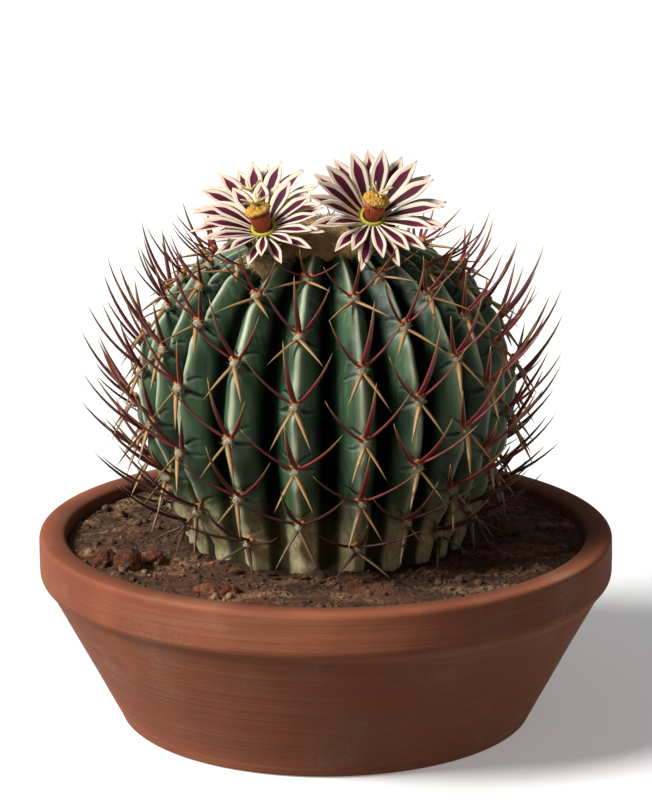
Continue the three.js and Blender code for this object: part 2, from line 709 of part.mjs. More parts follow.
const stemSeat = makeStemSeat();
addPiece("pot", makePan(), CLAY);
addPiece("soil", makeSoil(stemSeat), EARTH);
for (const clod of CLODS) {
  addPiece(clod.name, makeClod(clod, 0), CLOD_EARTH);
}
addPiece("cactus_stem", makeStem(), GREEN_SKIN);
addPiece("crown_wool", makeCrownWool(stemSeat), WOOL);
for (const bloom of BLOOMS) {
  addPiece(`bloom_${bloom.name}_tepals`, makeTepals(bloom, stemSeat), TEPAL);
  addPiece(`bloom_${bloom.name}_filaments`, makeFilaments(bloom), FILAMENT);
  addPiece(`bloom_${bloom.name}_anthers`, makeAnthers(bloom), ANTHER);
  addPiece(`bloom_${bloom.name}_stigma`, makeStigma(bloom), STIGMA_YELLOW);
}

export default part;
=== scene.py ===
"""A ribbed, globular cactus in bloom in a clay pan: its fine pieces and finishes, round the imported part.

Sizes in the classes are millimetres and degrees, and the finished meshes are in metres. Heights on the
plant count from the level of the soil. The stem stands on +Z, and its front looks towards -Y.
"""

import logging
import math
from bisect import bisect_right
from collections.abc import Sequence
from dataclasses import dataclass, field
from enum import Enum

import bmesh
import bpy
from mathutils import Matrix, Vector, noise

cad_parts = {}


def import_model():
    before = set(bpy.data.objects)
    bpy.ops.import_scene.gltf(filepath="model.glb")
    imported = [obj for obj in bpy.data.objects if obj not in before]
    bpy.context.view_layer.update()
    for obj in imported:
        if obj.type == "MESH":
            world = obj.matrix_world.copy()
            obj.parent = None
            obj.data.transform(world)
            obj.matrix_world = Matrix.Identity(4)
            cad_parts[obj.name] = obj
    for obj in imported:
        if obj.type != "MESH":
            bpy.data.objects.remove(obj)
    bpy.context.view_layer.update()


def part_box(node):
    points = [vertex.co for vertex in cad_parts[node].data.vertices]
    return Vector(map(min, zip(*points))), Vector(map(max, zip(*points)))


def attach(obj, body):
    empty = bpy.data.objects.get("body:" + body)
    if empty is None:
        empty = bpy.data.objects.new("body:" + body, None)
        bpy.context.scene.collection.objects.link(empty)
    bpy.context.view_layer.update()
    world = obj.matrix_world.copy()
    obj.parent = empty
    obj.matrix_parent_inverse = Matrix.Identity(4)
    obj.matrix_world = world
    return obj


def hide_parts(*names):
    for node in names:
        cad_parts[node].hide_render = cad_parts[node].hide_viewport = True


LOG = logging.getLogger("cactus_pan")
MM = 0.001
Z_AXIS = Vector((0, 0, 1))
AIM_HEIGHT = 41.5
CROWN_WOOL_TONES = ("BE9460", "F6D8AA", 1.6)
CROWN_HAIR_TONES = ("BE945E", "FAE0B4", 3.0)
Pairs = Sequence[tuple[float, float]]
Crease = tuple[float, float, float]
Value = bpy.types.NodeSocket | float | int | tuple[float, ...]


# Numbers and directions


class SeededNumbers:
    """The repeatable stream of numbers from 0 to 1 that the solid plant was grown with."""

    def __init__(self, seed: int) -> None:
        """Starts the stream at a seed."""
        self._state = seed

    def next(self) -> float:
        """The next number from 0 to 1."""
        self._state = (self._state * 1664525 + 1013904223) % 2**32
        return self._state / 2**32

    def vary(self, amount: float) -> float:
        """The next number, spread from -amount to amount."""
        return (2 * self.next() - 1) * amount


def along_pairs(pairs: Pairs, x: float) -> float:
    """The value at x on straight lines between pairs, held level past both ends.

    Args:
        pairs: Pairs of x and value, with x rising.
        x: Where to read the line.

    Returns:
        The value there.
    """
    after = bisect_right([pair[0] for pair in pairs], x)
    if after == 0:
        return pairs[0][1]
    if after == len(pairs):
        return pairs[-1][1]
    (x0, v0), (x1, v1) = pairs[after - 1], pairs[after]
    return v0 + (v1 - v0) * (x - x0) / (x1 - x0)


def smooth_share(low: float, high: float, value: float) -> float:
    """How far value is on its way from low to high, from 0 to 1 with soft ends."""
    share = min(1.0, max(0.0, (value - low) / (high - low)))
    return share * share * (3 - 2 * share)


def polar(radius: float, angle: float, height: float) -> Vector:
    """The point at a radius and an angle round +Z, in radians, and at a height."""
    return Vector((radius * math.cos(angle), radius * math.sin(angle), height))


def heading(angle: float, elevation: float) -> Vector:
    """The direction that rises by elevation from the horizontal, at an angle round +Z, both in radians."""
    level = math.cos(elevation)
    return Vector((level * math.cos(angle), level * math.sin(angle), math.sin(elevation)))


def facing(angle: float, elevation: float) -> Matrix:
    """The turn that lays a shape's X axis along a heading and keeps its Y axis level."""
    return Matrix.Rotation(angle, 3, "Z") @ Matrix.Rotation(-elevation, 3, "Y")


def linear(code: str) -> tuple[float, float, float, float]:
    """The linear colour of a six-digit colour code."""
    parts = [int(code[i:i + 2], 16) / 255 for i in (0, 2, 4)]
    return (*[p / 12.92 if p <= 0.04045 else ((p + 0.055) / 1.055) ** 2.4 for p in parts], 1.0)


# Meshes


@dataclass
class MeshPlan:
    """Points and faces of a mesh that is being drawn, with named values at its points."""

    points: list[Vector] = field(default_factory=list)
    faces: list[tuple[int, ...]] = field(default_factory=list)
    values: dict[str, list[float | Vector]] = field(default_factory=dict)

    def point(self, place: Vector, **values: float | Vector) -> int:
        """Adds a point.

        Args:
            place: Where it is.
            values: Its named values. A plan's points all have the same names.

        Returns:
            The number of the new point.
        """
        self.points.append(place)
        for name, value in values.items():
            self.values.setdefault(name, []).append(value)
        return len(self.points) - 1

    def skin(self, rings: Sequence[Sequence[int]]) -> None:
        """Joins closed rings of points by faces. A ring of one point is a pole."""
        for low, high in zip(rings, rings[1:]):
            count = max(len(low), len(high))
            for i in range(count):
                j = (i + 1) % count
                if len(low) == 1:
                    self.faces.append((low[0], high[j], high[i]))
                elif len(high) == 1:
                    self.faces.append((low[i], low[j], high[0]))
                else:
                    self.faces.append((low[i], low[j], high[j], high[i]))

    def fill(self, **values: float) -> None:
        """Gives all the points the same named values."""
        for name, value in values.items():
            self.values[name] = [value] * len(self.points)

    def build(self, name: str, scale: float = MM,
              material: bpy.types.Material | None = None) -> bpy.types.Object:
        """Makes the mesh object, with its faces outwards.

        Args:
            name: The object's name.
            scale: Metres in one unit of the plan, or 1 for a shape that is sized when it is placed.
            material: Its finish.

        Returns:
            The object, linked to the scene.
        """
        mesh = bpy.data.meshes.new(name)
        mesh.from_pydata([p * scale for p in self.points], [], self.faces)
        for key, listed in self.values.items():
            if isinstance(listed[0], Vector):
                layer = mesh.attributes.new(key, "FLOAT_VECTOR", "POINT")
                layer.data.foreach_set("vector", [part for vector in listed for part in vector])
            else:
                layer = mesh.attributes.new(key, "FLOAT", "POINT")
                layer.data.foreach_set("value", listed)
        if self.faces:
            turn_outwards(mesh)
            mesh.shade_smooth()
        if material:
            mesh.materials.append(material)
        return linked(name, mesh)


def turn_outwards(mesh: bpy.types.Mesh) -> None:
    """Turns the faces of each closed shell of a mesh outwards."""
    work = bmesh.new()
    work.from_mesh(mesh)
    bmesh.ops.recalc_face_normals(work, faces=work.faces)
    work.to_mesh(mesh)
    work.free()


def linked(name: str, mesh: bpy.types.Mesh) -> bpy.types.Object:
    """A new object for a mesh, in the scene."""
    piece = bpy.data.objects.new(name, mesh)
    bpy.context.scene.collection.objects.link(piece)
    return piece


def dropped(*helpers: bpy.types.Object) -> None:
    """Takes helper objects and their meshes out of the file."""
    for helper in helpers:
        mesh = helper.data
        bpy.data.objects.remove(helper)
        bpy.data.meshes.remove(mesh)


def lathe(outline: Sequence[tuple[float, float]], facets: int) -> MeshPlan:
    """A body turned about Z from an outline of radius and height that starts and ends at radius 0."""
    plan = MeshPlan()
    rings = []
    for radius, height in outline:
        count = facets if radius > 0 else 1
        rings.append([plan.point(polar(radius, 2 * math.pi * i / facets, height)) for i in range(count)])
    plan.skin(rings)
    return plan


def eased(corners: Sequence[tuple[float, float, float]], steps: int = 5) -> list[tuple[float, float]]:
    """An outline whose corners are rounded.

    Args:
        corners: Radius, height and rounding of each corner. A rounding of 0 keeps the corner sharp.
        steps: Points on each rounded corner.

    Returns:
        Pairs of radius and height.
    """
    outline = []
    last = len(corners) - 1
    for i, (radius, height, rounding) in enumerate(corners):
        here = Vector((radius, height))
        if rounding == 0:
            outline.append((radius, height))
            continue
        before = Vector(corners[i - 1][:2]) - here
        after = Vector(corners[i + 1 if i < last else 0][:2]) - here
        reach = min(rounding, before.length / 2, after.length / 2)
        start = here + before.normalized() * reach
        end = here + after.normalized() * reach
        for step in range(steps + 1):
            share = step / steps
            outline.append(tuple(start.lerp(here, share).lerp(here.lerp(end, share), share)))
    return outline


# Node trees


class NodeGraph:
    """Short calls that add and join the nodes of a tree."""

    def __init__(self, tree: bpy.types.NodeTree) -> None:
        """Works on the given tree."""
        self.tree = tree

    def add(self, kind: str, inputs: dict[str | int, Value] | None = None,
            **settings: object) -> bpy.types.Node:
        """Adds a node.

        Args:
            kind: The node's type.
            inputs: A value or another node's socket for each input, by name or number.
            settings: The node's own settings.

        Returns:
            The node.
        """
        node = self.tree.nodes.new(kind)
        for key, setting in settings.items():
            setattr(node, key, setting)
        for key, value in (inputs or {}).items():
            if isinstance(value, bpy.types.NodeSocket):
                self.tree.links.new(value, node.inputs[key])
            else:
                node.inputs[key].default_value = value
        return node

    def math(self, operation: str, *values: Value) -> bpy.types.NodeSocket:
        """The result of a sum on numbers, such as MULTIPLY."""
        return self.add("ShaderNodeMath", dict(enumerate(values)), operation=operation).outputs[0]

    def grade(self, value: Value, low: float, high: float, to_low: float = 0.0,
              to_high: float = 1.0) -> bpy.types.NodeSocket:
        """Value on its way from low to high, with soft ends, as a number from to_low to to_high."""
        sockets = {"Value": value, "From Min": low, "From Max": high, "To Min": to_low, "To Max": to_high}
        return self.add("ShaderNodeMapRange", sockets, interpolation_type="SMOOTHSTEP").outputs[0]


class Shading(NodeGraph):
    """A surface finish that is being mixed from patterns and named values."""

    def __init__(self, name: str) -> None:
        """Starts an empty material with one glossy and matt surface."""
        self.material = bpy.data.materials.new(name)
        self.material.use_nodes = True
        super().__init__(self.material.node_tree)
        self.tree.nodes.clear()
        self.surface = self.add("ShaderNodeBsdfPrincipled")
        self.add("ShaderNodeOutputMaterial", {"Surface": self.surface.outputs[0]})
        self._place = self.add("ShaderNodeTexCoord").outputs["Object"]

    def value(self, name: str) -> bpy.types.NodeSocket:
        """A named value that the mesh carries at its points."""
        return self.add("ShaderNodeAttribute", attribute_name=name).outputs["Fac"]

    def noise(self, size: float, detail: float = 2.0, stretch: tuple[float, float, float] = (1, 1, 1),
              place: Value | None = None) -> bpy.types.NodeSocket:
        """A cloudy pattern from 0 to 1.

        Args:
            size: The size of its blotches, in millimetres on the object.
            detail: How many finer layers it has.
            stretch: How much longer the blotches are along X, Y and Z.
            place: What it is laid on, if not the object.

        Returns:
            The pattern's socket.
        """
        squeeze = tuple(1 / s for s in stretch)
        laid = self.add("ShaderNodeMapping", {"Vector": place or self._place, "Scale": squeeze}).outputs[0]
        sockets = {"Vector": laid, "Scale": 1 / (size * MM), "Detail": detail}
        return self.add("ShaderNodeTexNoise", sockets).outputs["Fac"]

    def blend(self, share: Value, low: Value | str, high: Value | str) -> bpy.types.NodeSocket:
        """A colour between low and high, each a socket or a colour code."""
        low, high = (linear(c) if isinstance(c, str) else c for c in (low, high))
        return self.add("ShaderNodeMix", {0: share, 6: low, 7: high}, data_type="RGBA").outputs[2]

    def ramp(self, value: Value, stops: Sequence[tuple[float, str]]) -> bpy.types.NodeSocket:
        """The colour that a row of stops gives for a value.

        Args:
            value: What is read, from 0 to 1.
            stops: Pairs of a value and a colour code.

        Returns:
            The colour's socket.
        """
        node = self.add("ShaderNodeValToRGB", {0: value})
        elements = node.color_ramp.elements
        while len(elements) < len(stops):
            elements.new(0.5)
        for element, (at, code) in zip(elements, stops):
            element.position = at
            element.color = linear(code)
        return node.outputs[0]

    def finish(self, colour: Value, roughness: Value, relief: Value | None = None, depth: float = 0.1,
               gloss: Value = 0.5, glow: float = 0.0) -> bpy.types.Material:
        """Joins the patterns to the surface.

        Args:
            colour: The surface colour.
            roughness: How matt it is.
            relief: A pattern that raises it, from 0 to 1.
            depth: The height of the relief, in millimetres.
            gloss: How strongly it reflects, from 0 to 1.
            glow: How much white light it gives off.

        Returns:
            The material.
        """
        sockets = {"Base Color": colour, "Roughness": roughness, "Specular IOR Level": gloss,
                   "Emission Strength": glow, "Emission Color": linear("FFFFFF")}
        if relief is not None:
            bump = self.add("ShaderNodeBump", {"Height": relief, "Distance": depth * MM})
            sockets["Normal"] = bump.outputs[0]
        for key, value in sockets.items():
            if isinstance(value, bpy.types.NodeSocket):
                self.tree.links.new(value, self.surface.inputs[key])
            else:
                self.surface.inputs[key].default_value = value
        return self.material


class ShapeTree(NodeGraph):
    """A Geometry Nodes tree with named inputs, whose result becomes one plain mesh."""

    def __init__(self, name: str, **kinds: str) -> None:
        """Starts a tree.

        Args:
            name: The tree's name.
            kinds: The name of each input, with _ for a space, and its kind, such as Float.
        """
        super().__init__(bpy.data.node_groups.new(name, "GeometryNodeTree"))
        face = self.tree.interface
        face.new_socket("Geometry", in_out="INPUT", socket_type="NodeSocketGeometry")
        for key, kind in kinds.items():
            face.new_socket(key.replace("_", " "), in_out="INPUT", socket_type=f"NodeSocket{kind}")
        face.new_socket("Material", in_out="INPUT", socket_type="NodeSocketMaterial")
        face.new_socket("Geometry", in_out="OUTPUT", socket_type="NodeSocketGeometry")
        self.given = self.add("NodeGroupInput").outputs

    def named(self, name: str, kind: str = "FLOAT") -> bpy.types.NodeSocket:
        """A named value of the carrier's points."""
        node = self.add("GeometryNodeInputNamedAttribute", {"Name": name}, data_type=kind)
        return next(socket for socket in node.outputs if socket.enabled)

    def vector(self, operation: str, first: Value, second: Value) -> bpy.types.NodeSocket:
        """The result of a sum on vectors. SCALE takes a number second."""
        sockets = {0: first, "Scale" if operation == "SCALE" else 1: second}
        return self.add("ShaderNodeVectorMath", sockets, operation=operation).outputs[0]

    def cloud(self, size: Value, amount: Value) -> bpy.types.NodeSocket:
        """A cloudy push in all directions.

        Args:
            size: Lumps to the metre.
            amount: The longest push, in metres.

        Returns:
            The push, as a vector.
        """
        colour = self.add("ShaderNodeTexNoise", {"Scale": size, "Detail": 2.0}).outputs["Color"]
        centred = self.vector("SUBTRACT", colour, (0.5, 0.5, 0.5))
        return self.vector("SCALE", centred, self.math("MULTIPLY", amount, 2.0))

    def close(self, geometry: bpy.types.NodeSocket,
              push: bpy.types.NodeSocket | None = None) -> "ShapeTree":
        """Ends the tree: copies made real, points pushed, faces smooth, and the finish set."""
        real = self.add("GeometryNodeRealizeInstances", {0: geometry}).outputs[0]
        if push:
            real = self.add("GeometryNodeSetPosition", {"Geometry": real, "Offset": push}).outputs[0]
        smooth = self.add("GeometryNodeSetShadeSmooth", {0: real}).outputs[0]
        done = self.add("GeometryNodeSetMaterial", {"Geometry": smooth, "Material": self.given["Material"]})
        self.add("NodeGroupOutput", {"Geometry": done.outputs[0]})
        return self

    def grow(self, carrier: bpy.types.Object, name: str, keep: bool = False,
             **inputs: object) -> bpy.types.Object:
        """Runs the tree on a carrier and makes the result a plain mesh.

        Args:
            carrier: The object that the tree starts from.
            name: The name of the result.
            keep: Whether the carrier stays.
            inputs: The tree's inputs, by name with _ for a space.

        Returns:
            The result.
        """
        modifier = carrier.modifiers.new(name, "NODES")
        modifier.node_group = self.tree
        for item in self.tree.interface.items_tree:
            key = item.name.replace(" ", "_")
            if item.in_out == "INPUT" and key in inputs:
                modifier[item.identifier] = inputs[key]
        seen = bpy.context.evaluated_depsgraph_get()
        mesh = bpy.data.meshes.new_from_object(
            carrier.evaluated_get(seen), preserve_all_data_layers=True, depsgraph=seen)
        carrier.modifiers.remove(modifier)
        # These values only placed or pressed the points, so no finish reads them.
        for layer in ("turn", "size", "inward", "depth"):
            if layer in mesh.attributes:
                mesh.attributes.remove(mesh.attributes[layer])
        if not keep:
            dropped(carrier)
        mesh.name = name
        return linked(name, mesh)


class Gardener:
    """The trees that repeat small shapes, and short calls to use them."""

    def __init__(self) -> None:
        """Builds the trees."""
        self._copies = self._copies_tree()
        self._strewn = self._strewn_tree()

    @staticmethod
    def _copies_tree() -> ShapeTree:
        """A tree that sets one shape on each point of a carrier, with that point's turn and size."""
        tree = ShapeTree("Shape on each point", Shape="Object", Unevenness="Float",
                         Lumps_to_the_metre="Float")
        shape = tree.add("GeometryNodeObjectInfo", {"Object": tree.given["Shape"]})
        turn = tree.add("FunctionNodeEulerToRotation", {0: tree.named("turn", "FLOAT_VECTOR")})
        copies = tree.add("GeometryNodeInstanceOnPoints", {
            "Points": tree.given["Geometry"],
            "Instance": shape.outputs["Geometry"],
            "Rotation": turn.outputs[0],
            "Scale": tree.named("size", "FLOAT_VECTOR"),
        })
        push = tree.cloud(tree.given["Lumps to the metre"], tree.given["Unevenness"])
        return tree.close(copies.outputs[0], push)

    @staticmethod
    def _strewn_tree() -> ShapeTree:
        """A tree that strews a shape over the faces of a carrier, where its growth value lets it.

        The inputs of a random value are its least and most (0 and 1 for directions, 2 and 3 for numbers) and
        its seed, 8.
        """
        tree = ShapeTree("Shape strewn on a surface", Shape="Object", Density="Float", Least="Float",
                         Greatest="Float", Lean="Float", Seed="Int")
        given = tree.given
        spread = tree.add("GeometryNodeDistributePointsOnFaces", {
            "Mesh": given["Geometry"],
            "Density": tree.math("MULTIPLY", given["Density"], tree.named("growth")),
            "Seed": given["Seed"],
        }, distribute_method="RANDOM")
        back = tree.math("MULTIPLY", given["Lean"], -1.0)
        least = tree.add("ShaderNodeCombineXYZ", {0: back, 1: back, 2: 0.0}).outputs[0]
        most = tree.add("ShaderNodeCombineXYZ", {0: given["Lean"], 1: given["Lean"], 2: 2 * math.pi})
        lean = tree.add("FunctionNodeRandomValue", {0: least, 1: most.outputs[0], 8: given["Seed"]},
                        data_type="FLOAT_VECTOR").outputs[0]
        by = tree.add("FunctionNodeEulerToRotation", {0: lean}).outputs[0]
        turn = tree.add("FunctionNodeRotateRotation", {"Rotation": spread.outputs["Rotation"],
                                                       "Rotate By": by}, rotation_space="LOCAL")
        size = tree.add("FunctionNodeRandomValue", {2: given["Least"], 3: given["Greatest"],
                                                    8: given["Seed"]}, data_type="FLOAT").outputs[1]
        shape = tree.add("GeometryNodeObjectInfo", {"Object": given["Shape"]})
        tone = tree.add("FunctionNodeRandomValue", {2: 0.0, 3: 1.0, 8: 7}, data_type="FLOAT").outputs[1]
        copies = tree.add("GeometryNodeInstanceOnPoints", {
            "Points": spread.outputs["Points"],
            "Instance": shape.outputs["Geometry"],
            "Rotation": turn.outputs[0],
            "Scale": size,
        })
        toned = tree.add("GeometryNodeStoreNamedAttribute", {
            "Geometry": copies.outputs[0], "Name": "tone", "Value": tone,
        }, data_type="FLOAT", domain="INSTANCE")
        return tree.close(toned.outputs[0])

    def copy(self, name: str, shape: MeshPlan, places: MeshPlan, material: bpy.types.Material,
             unevenness: float = 0.0, lump: float = 4.0) -> bpy.types.Object:
        """Sets a shape on each place.

        Args:
            name: The name of the result.
            shape: The shape, in units of its size.
            places: Points with a turn, in radians about X, Y and Z, and a size in metres.
            material: The finish.
            unevenness: How far noise pushes the surface, in millimetres.
            lump: The size of the noise's lumps, in millimetres.

        Returns:
            All the copies as one mesh.
        """
        pattern = shape.build(name + "_shape", scale=1)
        result = self._copies.grow(
            places.build(name + "_places"), name, Shape=pattern, Material=material,
            Unevenness=unevenness * MM, Lumps_to_the_metre=1 / (lump * MM))
        dropped(pattern)
        return result

    def strew(self, name: str, shape: MeshPlan, surface: bpy.types.Object, material: bpy.types.Material,
              per_cm2: float, size: tuple[float, float], lean: float, seed: int) -> bpy.types.Object:
        """Strews a shape over a surface.

        Args:
            name: The name of the result.
            shape: The shape, in units of its size, that stands on its Z axis.
            surface: The surface, with a growth value from 0 to 1.
            material: The finish.
            per_cm2: How many stand on each square centimetre where growth is 1.
            size: The least and the greatest size, in millimetres.
            lean: How far each may lean, in degrees.
            seed: The seed of the draw.

        Returns:
            All of them as one mesh.
        """
        pattern = shape.build(name + "_shape", scale=1)
        result = self._strewn.grow(
            surface, name, keep=True, Shape=pattern, Material=material, Density=per_cm2 * 1e4,
            Least=size[0] * MM, Greatest=size[1] * MM, Lean=math.radians(lean), Seed=seed)
        dropped(pattern)
        return result


def add_place(places: MeshPlan, where: Vector, turn: Matrix, size: float | Vector, **values: float) -> None:
    """Adds a place for a copy.

    Args:
        places: The plan that it goes in.
        where: Its place, in millimetres.
        turn: How the copy is turned.
        size: Its size in millimetres, for all axes or for each.
        values: Named values that the copy carries.
    """
    sizes = size if isinstance(size, Vector) else Vector((size, size, size))
    places.point(where, turn=Vector(turn.to_euler("XYZ")), size=sizes * MM, **values)


def settle(piece: bpy.types.Object, slot: str, *nodes: str) -> None:
    """Fixes a finished piece to the part, for the nodes that it stands for, and reports it."""
    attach(piece, "root")
    if nodes:
        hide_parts(*nodes)
    LOG.info("%s: %d faces", piece.name, len(piece.data.polygons))


# Small shapes, in units of their size


def blade_shape(outline: Pairs, width: float, section: Pairs, turn: float, segments: int) -> MeshPlan:
    """A long pointed blade from the origin along X, such as a spine, a hair or a thread.

    Args:
        outline: Share of the width at shares of the length.
        width: The full width, in lengths.
        section: The corners of its cross section in half widths, from its left edge round its back.
        turn: How far it bends upwards from end to end, in degrees.
        segments: Steps along its length.

    Returns:
        The shape, which carries along, from 0 to 1, and across, from -1 to 1.
    """
    plan = MeshPlan()
    rings = []
    middle = Vector((0, 0, 0))
    for i in range(segments + 1):
        share = i / segments
        slope = math.radians(turn) * (share - 0.5)
        up = Vector((-math.sin(slope), 0, math.cos(slope)))
        half = width * along_pairs(outline, share) / 2
        if i == segments:
            rings.append([plan.point(middle.copy(), along=1.0, across=0.0)])
            break
        rings.append([
            plan.point(middle + Vector((0, y * half, 0)) + up * (z * half), along=share, across=y)
            for y, z in section
        ])
        step = math.radians(turn) * (share + 0.5 / segments - 0.5)
        middle += Vector((math.cos(step), 0, math.sin(step))) / segments
    root = plan.point(Vector((0, 0, 0)), along=0.0, across=0.0)
    plan.skin([[root], *rings])
    return plan


def round_section(sides: int) -> list[tuple[float, float]]:
    """The corners of a round cross section, in half widths."""
    return [(math.cos(2 * math.pi * i / sides), math.sin(2 * math.pi * i / sides)) for i in range(sides)]


def bead_shape(sides: int, rows: int, roughness: float = 0.0, seed: int = 1, **values: float) -> MeshPlan:
    """A bead of radius 1, smooth or rough.

    Args:
        sides: Points round it.
        rows: Rings between its poles.
        roughness: How far its points are pushed in or out, in radii.
        seed: The seed of that push.
        values: Named values that its points carry.

    Returns:
        The shape.
    """
    random = SeededNumbers(seed)
    plan = MeshPlan()
    rings = [[plan.point(Vector((0, 0, -1)), **values)]]
    for row in range(1, rows + 1):
        tilt = math.pi * row / (rows + 1) - math.pi / 2
        stagger = row % 2 / 2
        rings.append([
            plan.point(heading(2 * math.pi * (i + stagger) / sides, tilt) * (1 + random.vary(roughness)),
                       **values)
            for i in range(sides)
        ])
    rings.append([plan.point(Vector((0, 0, 1)), **values)])
    plan.skin(rings)
    return plan


def tepal_shape(width: float, channel: float, recurve: float, thickness: float, rows: int = 15) -> MeshPlan:
    """A pointed, hollow-backed tepal from the origin along X, with its upper face to +Z.

    Args:
        width: Its width in lengths.
        channel: How far its edges stand above its middle, in half widths.
        recurve: How far its tip bends down, in lengths.
        thickness: Its thickness in lengths.
        rows: Steps along its length.

    Returns:
        The shape, which carries along, from 0 to 1, across, from -1 to 1, and under, 1 on its back.
    """
    columns = [-1, -0.72, -0.36, 0, 0.36, 0.72, 1]
    plan = MeshPlan()
    rings = [[plan.point(Vector((0, 0, 0)), along=0.0, across=0.0, under=0.5)]]
    for row in range(rows):
        share = 0.01 + 0.985 * row / rows
        past = max(0.0, (share - 0.6) / 0.4)
        grown = 0.34 + 0.66 * math.sin(min(1.0, share / 0.6) * math.pi / 2) ** 1.5
        half = width / 2 * grown * (1 - past**1.7) * (1 - 0.25 * past**2)
        lift = 0.03 * math.sin(math.pi * share) - recurve * share**3
        crown = [Vector((share, c * half, lift + channel * half * c * c)) for c in columns]
        body = [thickness * (1 - 0.85 * c * c) for c in columns]
        ring = [plan.point(p, along=share, across=float(c), under=0.0) for p, c in zip(crown, columns)]
        for i in range(len(columns) - 2, 0, -1):
            back = crown[i] - Vector((0, 0, body[i]))
            ring.append(plan.point(back, along=share, across=float(columns[i]), under=1.0))
        rings.append(ring)
    rings.append([plan.point(Vector((1, 0, -recurve)), along=1.0, across=0.0, under=0.5)])
    plan.skin(rings)
    return plan


def upright(shape: MeshPlan) -> MeshPlan:
    """The same shape, turned so that its X axis stands on Z."""
    stand = Matrix.Rotation(-math.pi / 2, 3, "Y")
    return MeshPlan([stand @ point for point in shape.points], shape.faces, shape.values)


def wool_hair(width: float, bend: float, segments: int) -> MeshPlan:
    """A three-sided hair that stands on Z, with its width in lengths and its bend in degrees."""
    return upright(blade_shape([(0, 1), (0.6, 0.7), (1, 0)], width, round_section(3), bend, segments))


# Finishes


@dataclass(frozen=True)
class ClayFinish:
    """Unglazed fired clay with turning lines and a chalky bloom."""

    clay: str = "A8603F"
    dark: str = "904C30"
    light: str = "B8774F"
    bloom: str = "BE9C84"
    damp: str = "673925"
    ring_height: float = 1.3

    def material(self) -> bpy.types.Material:
        """The material."""
        mix = Shading("clay")
        clouds = mix.noise(26, 4)
        grain = mix.noise(0.7, 3)
        lines = mix.noise(self.ring_height, 2, stretch=(40, 40, 1))
        body = mix.blend(mix.grade(clouds, 0.35, 0.7), self.dark, self.clay)
        body = mix.blend(mix.grade(lines, 0.45, 0.75, 0, 0.35), body, self.light)
        chalk = mix.math("MULTIPLY", mix.grade(mix.noise(19, 6), 0.48, 0.8), mix.grade(grain, 0.3, 0.7))
        body = mix.blend(mix.math("MULTIPLY", chalk, 0.5), body, self.bloom)
        body = mix.blend(mix.grade(mix.value("damp"), 0.0, 1.0, 0, 0.6), body, self.damp)
        relief = mix.math("ADD", mix.math("MULTIPLY", grain, 0.45), lines)
        return mix.finish(body, mix.grade(clouds, 0.2, 0.8, 0.72, 0.9), relief, 0.16)


@dataclass(frozen=True)
class EarthFinish:
    """Potting earth in streaks of brown, with pale dry crumbs on top."""

    name: str = "earth"
    deep: str = "26150B"
    brown: str = "5A3A22"
    dry: str = "9A744E"
    rust: str = "6A3A22"
    streak: float = 3.2

    def material(self) -> bpy.types.Material:
        """The material."""
        mix = Shading(self.name)
        streaks = mix.noise(7, 4, stretch=(self.streak, 1, 1))
        crumbs = mix.noise(1.3, 4)
        body = mix.blend(mix.grade(crumbs, 0.3, 0.65), self.deep, self.brown)
        body = mix.blend(mix.grade(mix.noise(16, 3), 0.5, 0.7, 0, 0.6), body, self.rust)
        dry = mix.math("MULTIPLY", mix.grade(streaks, 0.48, 0.66), mix.grade(crumbs, 0.35, 0.6))
        body = mix.blend(mix.math("MULTIPLY", dry, 0.8), body, self.dry)
        # Painted shade: the point value shade darkens the earth next to the stem, where its shadow falls; on
        # the chips it is a random darker tone.
        body = mix.blend(mix.grade(mix.value("shade"), 0.0, 1.0, 0, 0.75), body, self.deep)
        return mix.finish(body, 0.95, crumbs, 0.5)


CLOD_FINISH = EarthFinish(name="clod", deep="2E160C", brown="6A3A20", dry="B27A4C", rust="8A4526",
                          streak=1.4)


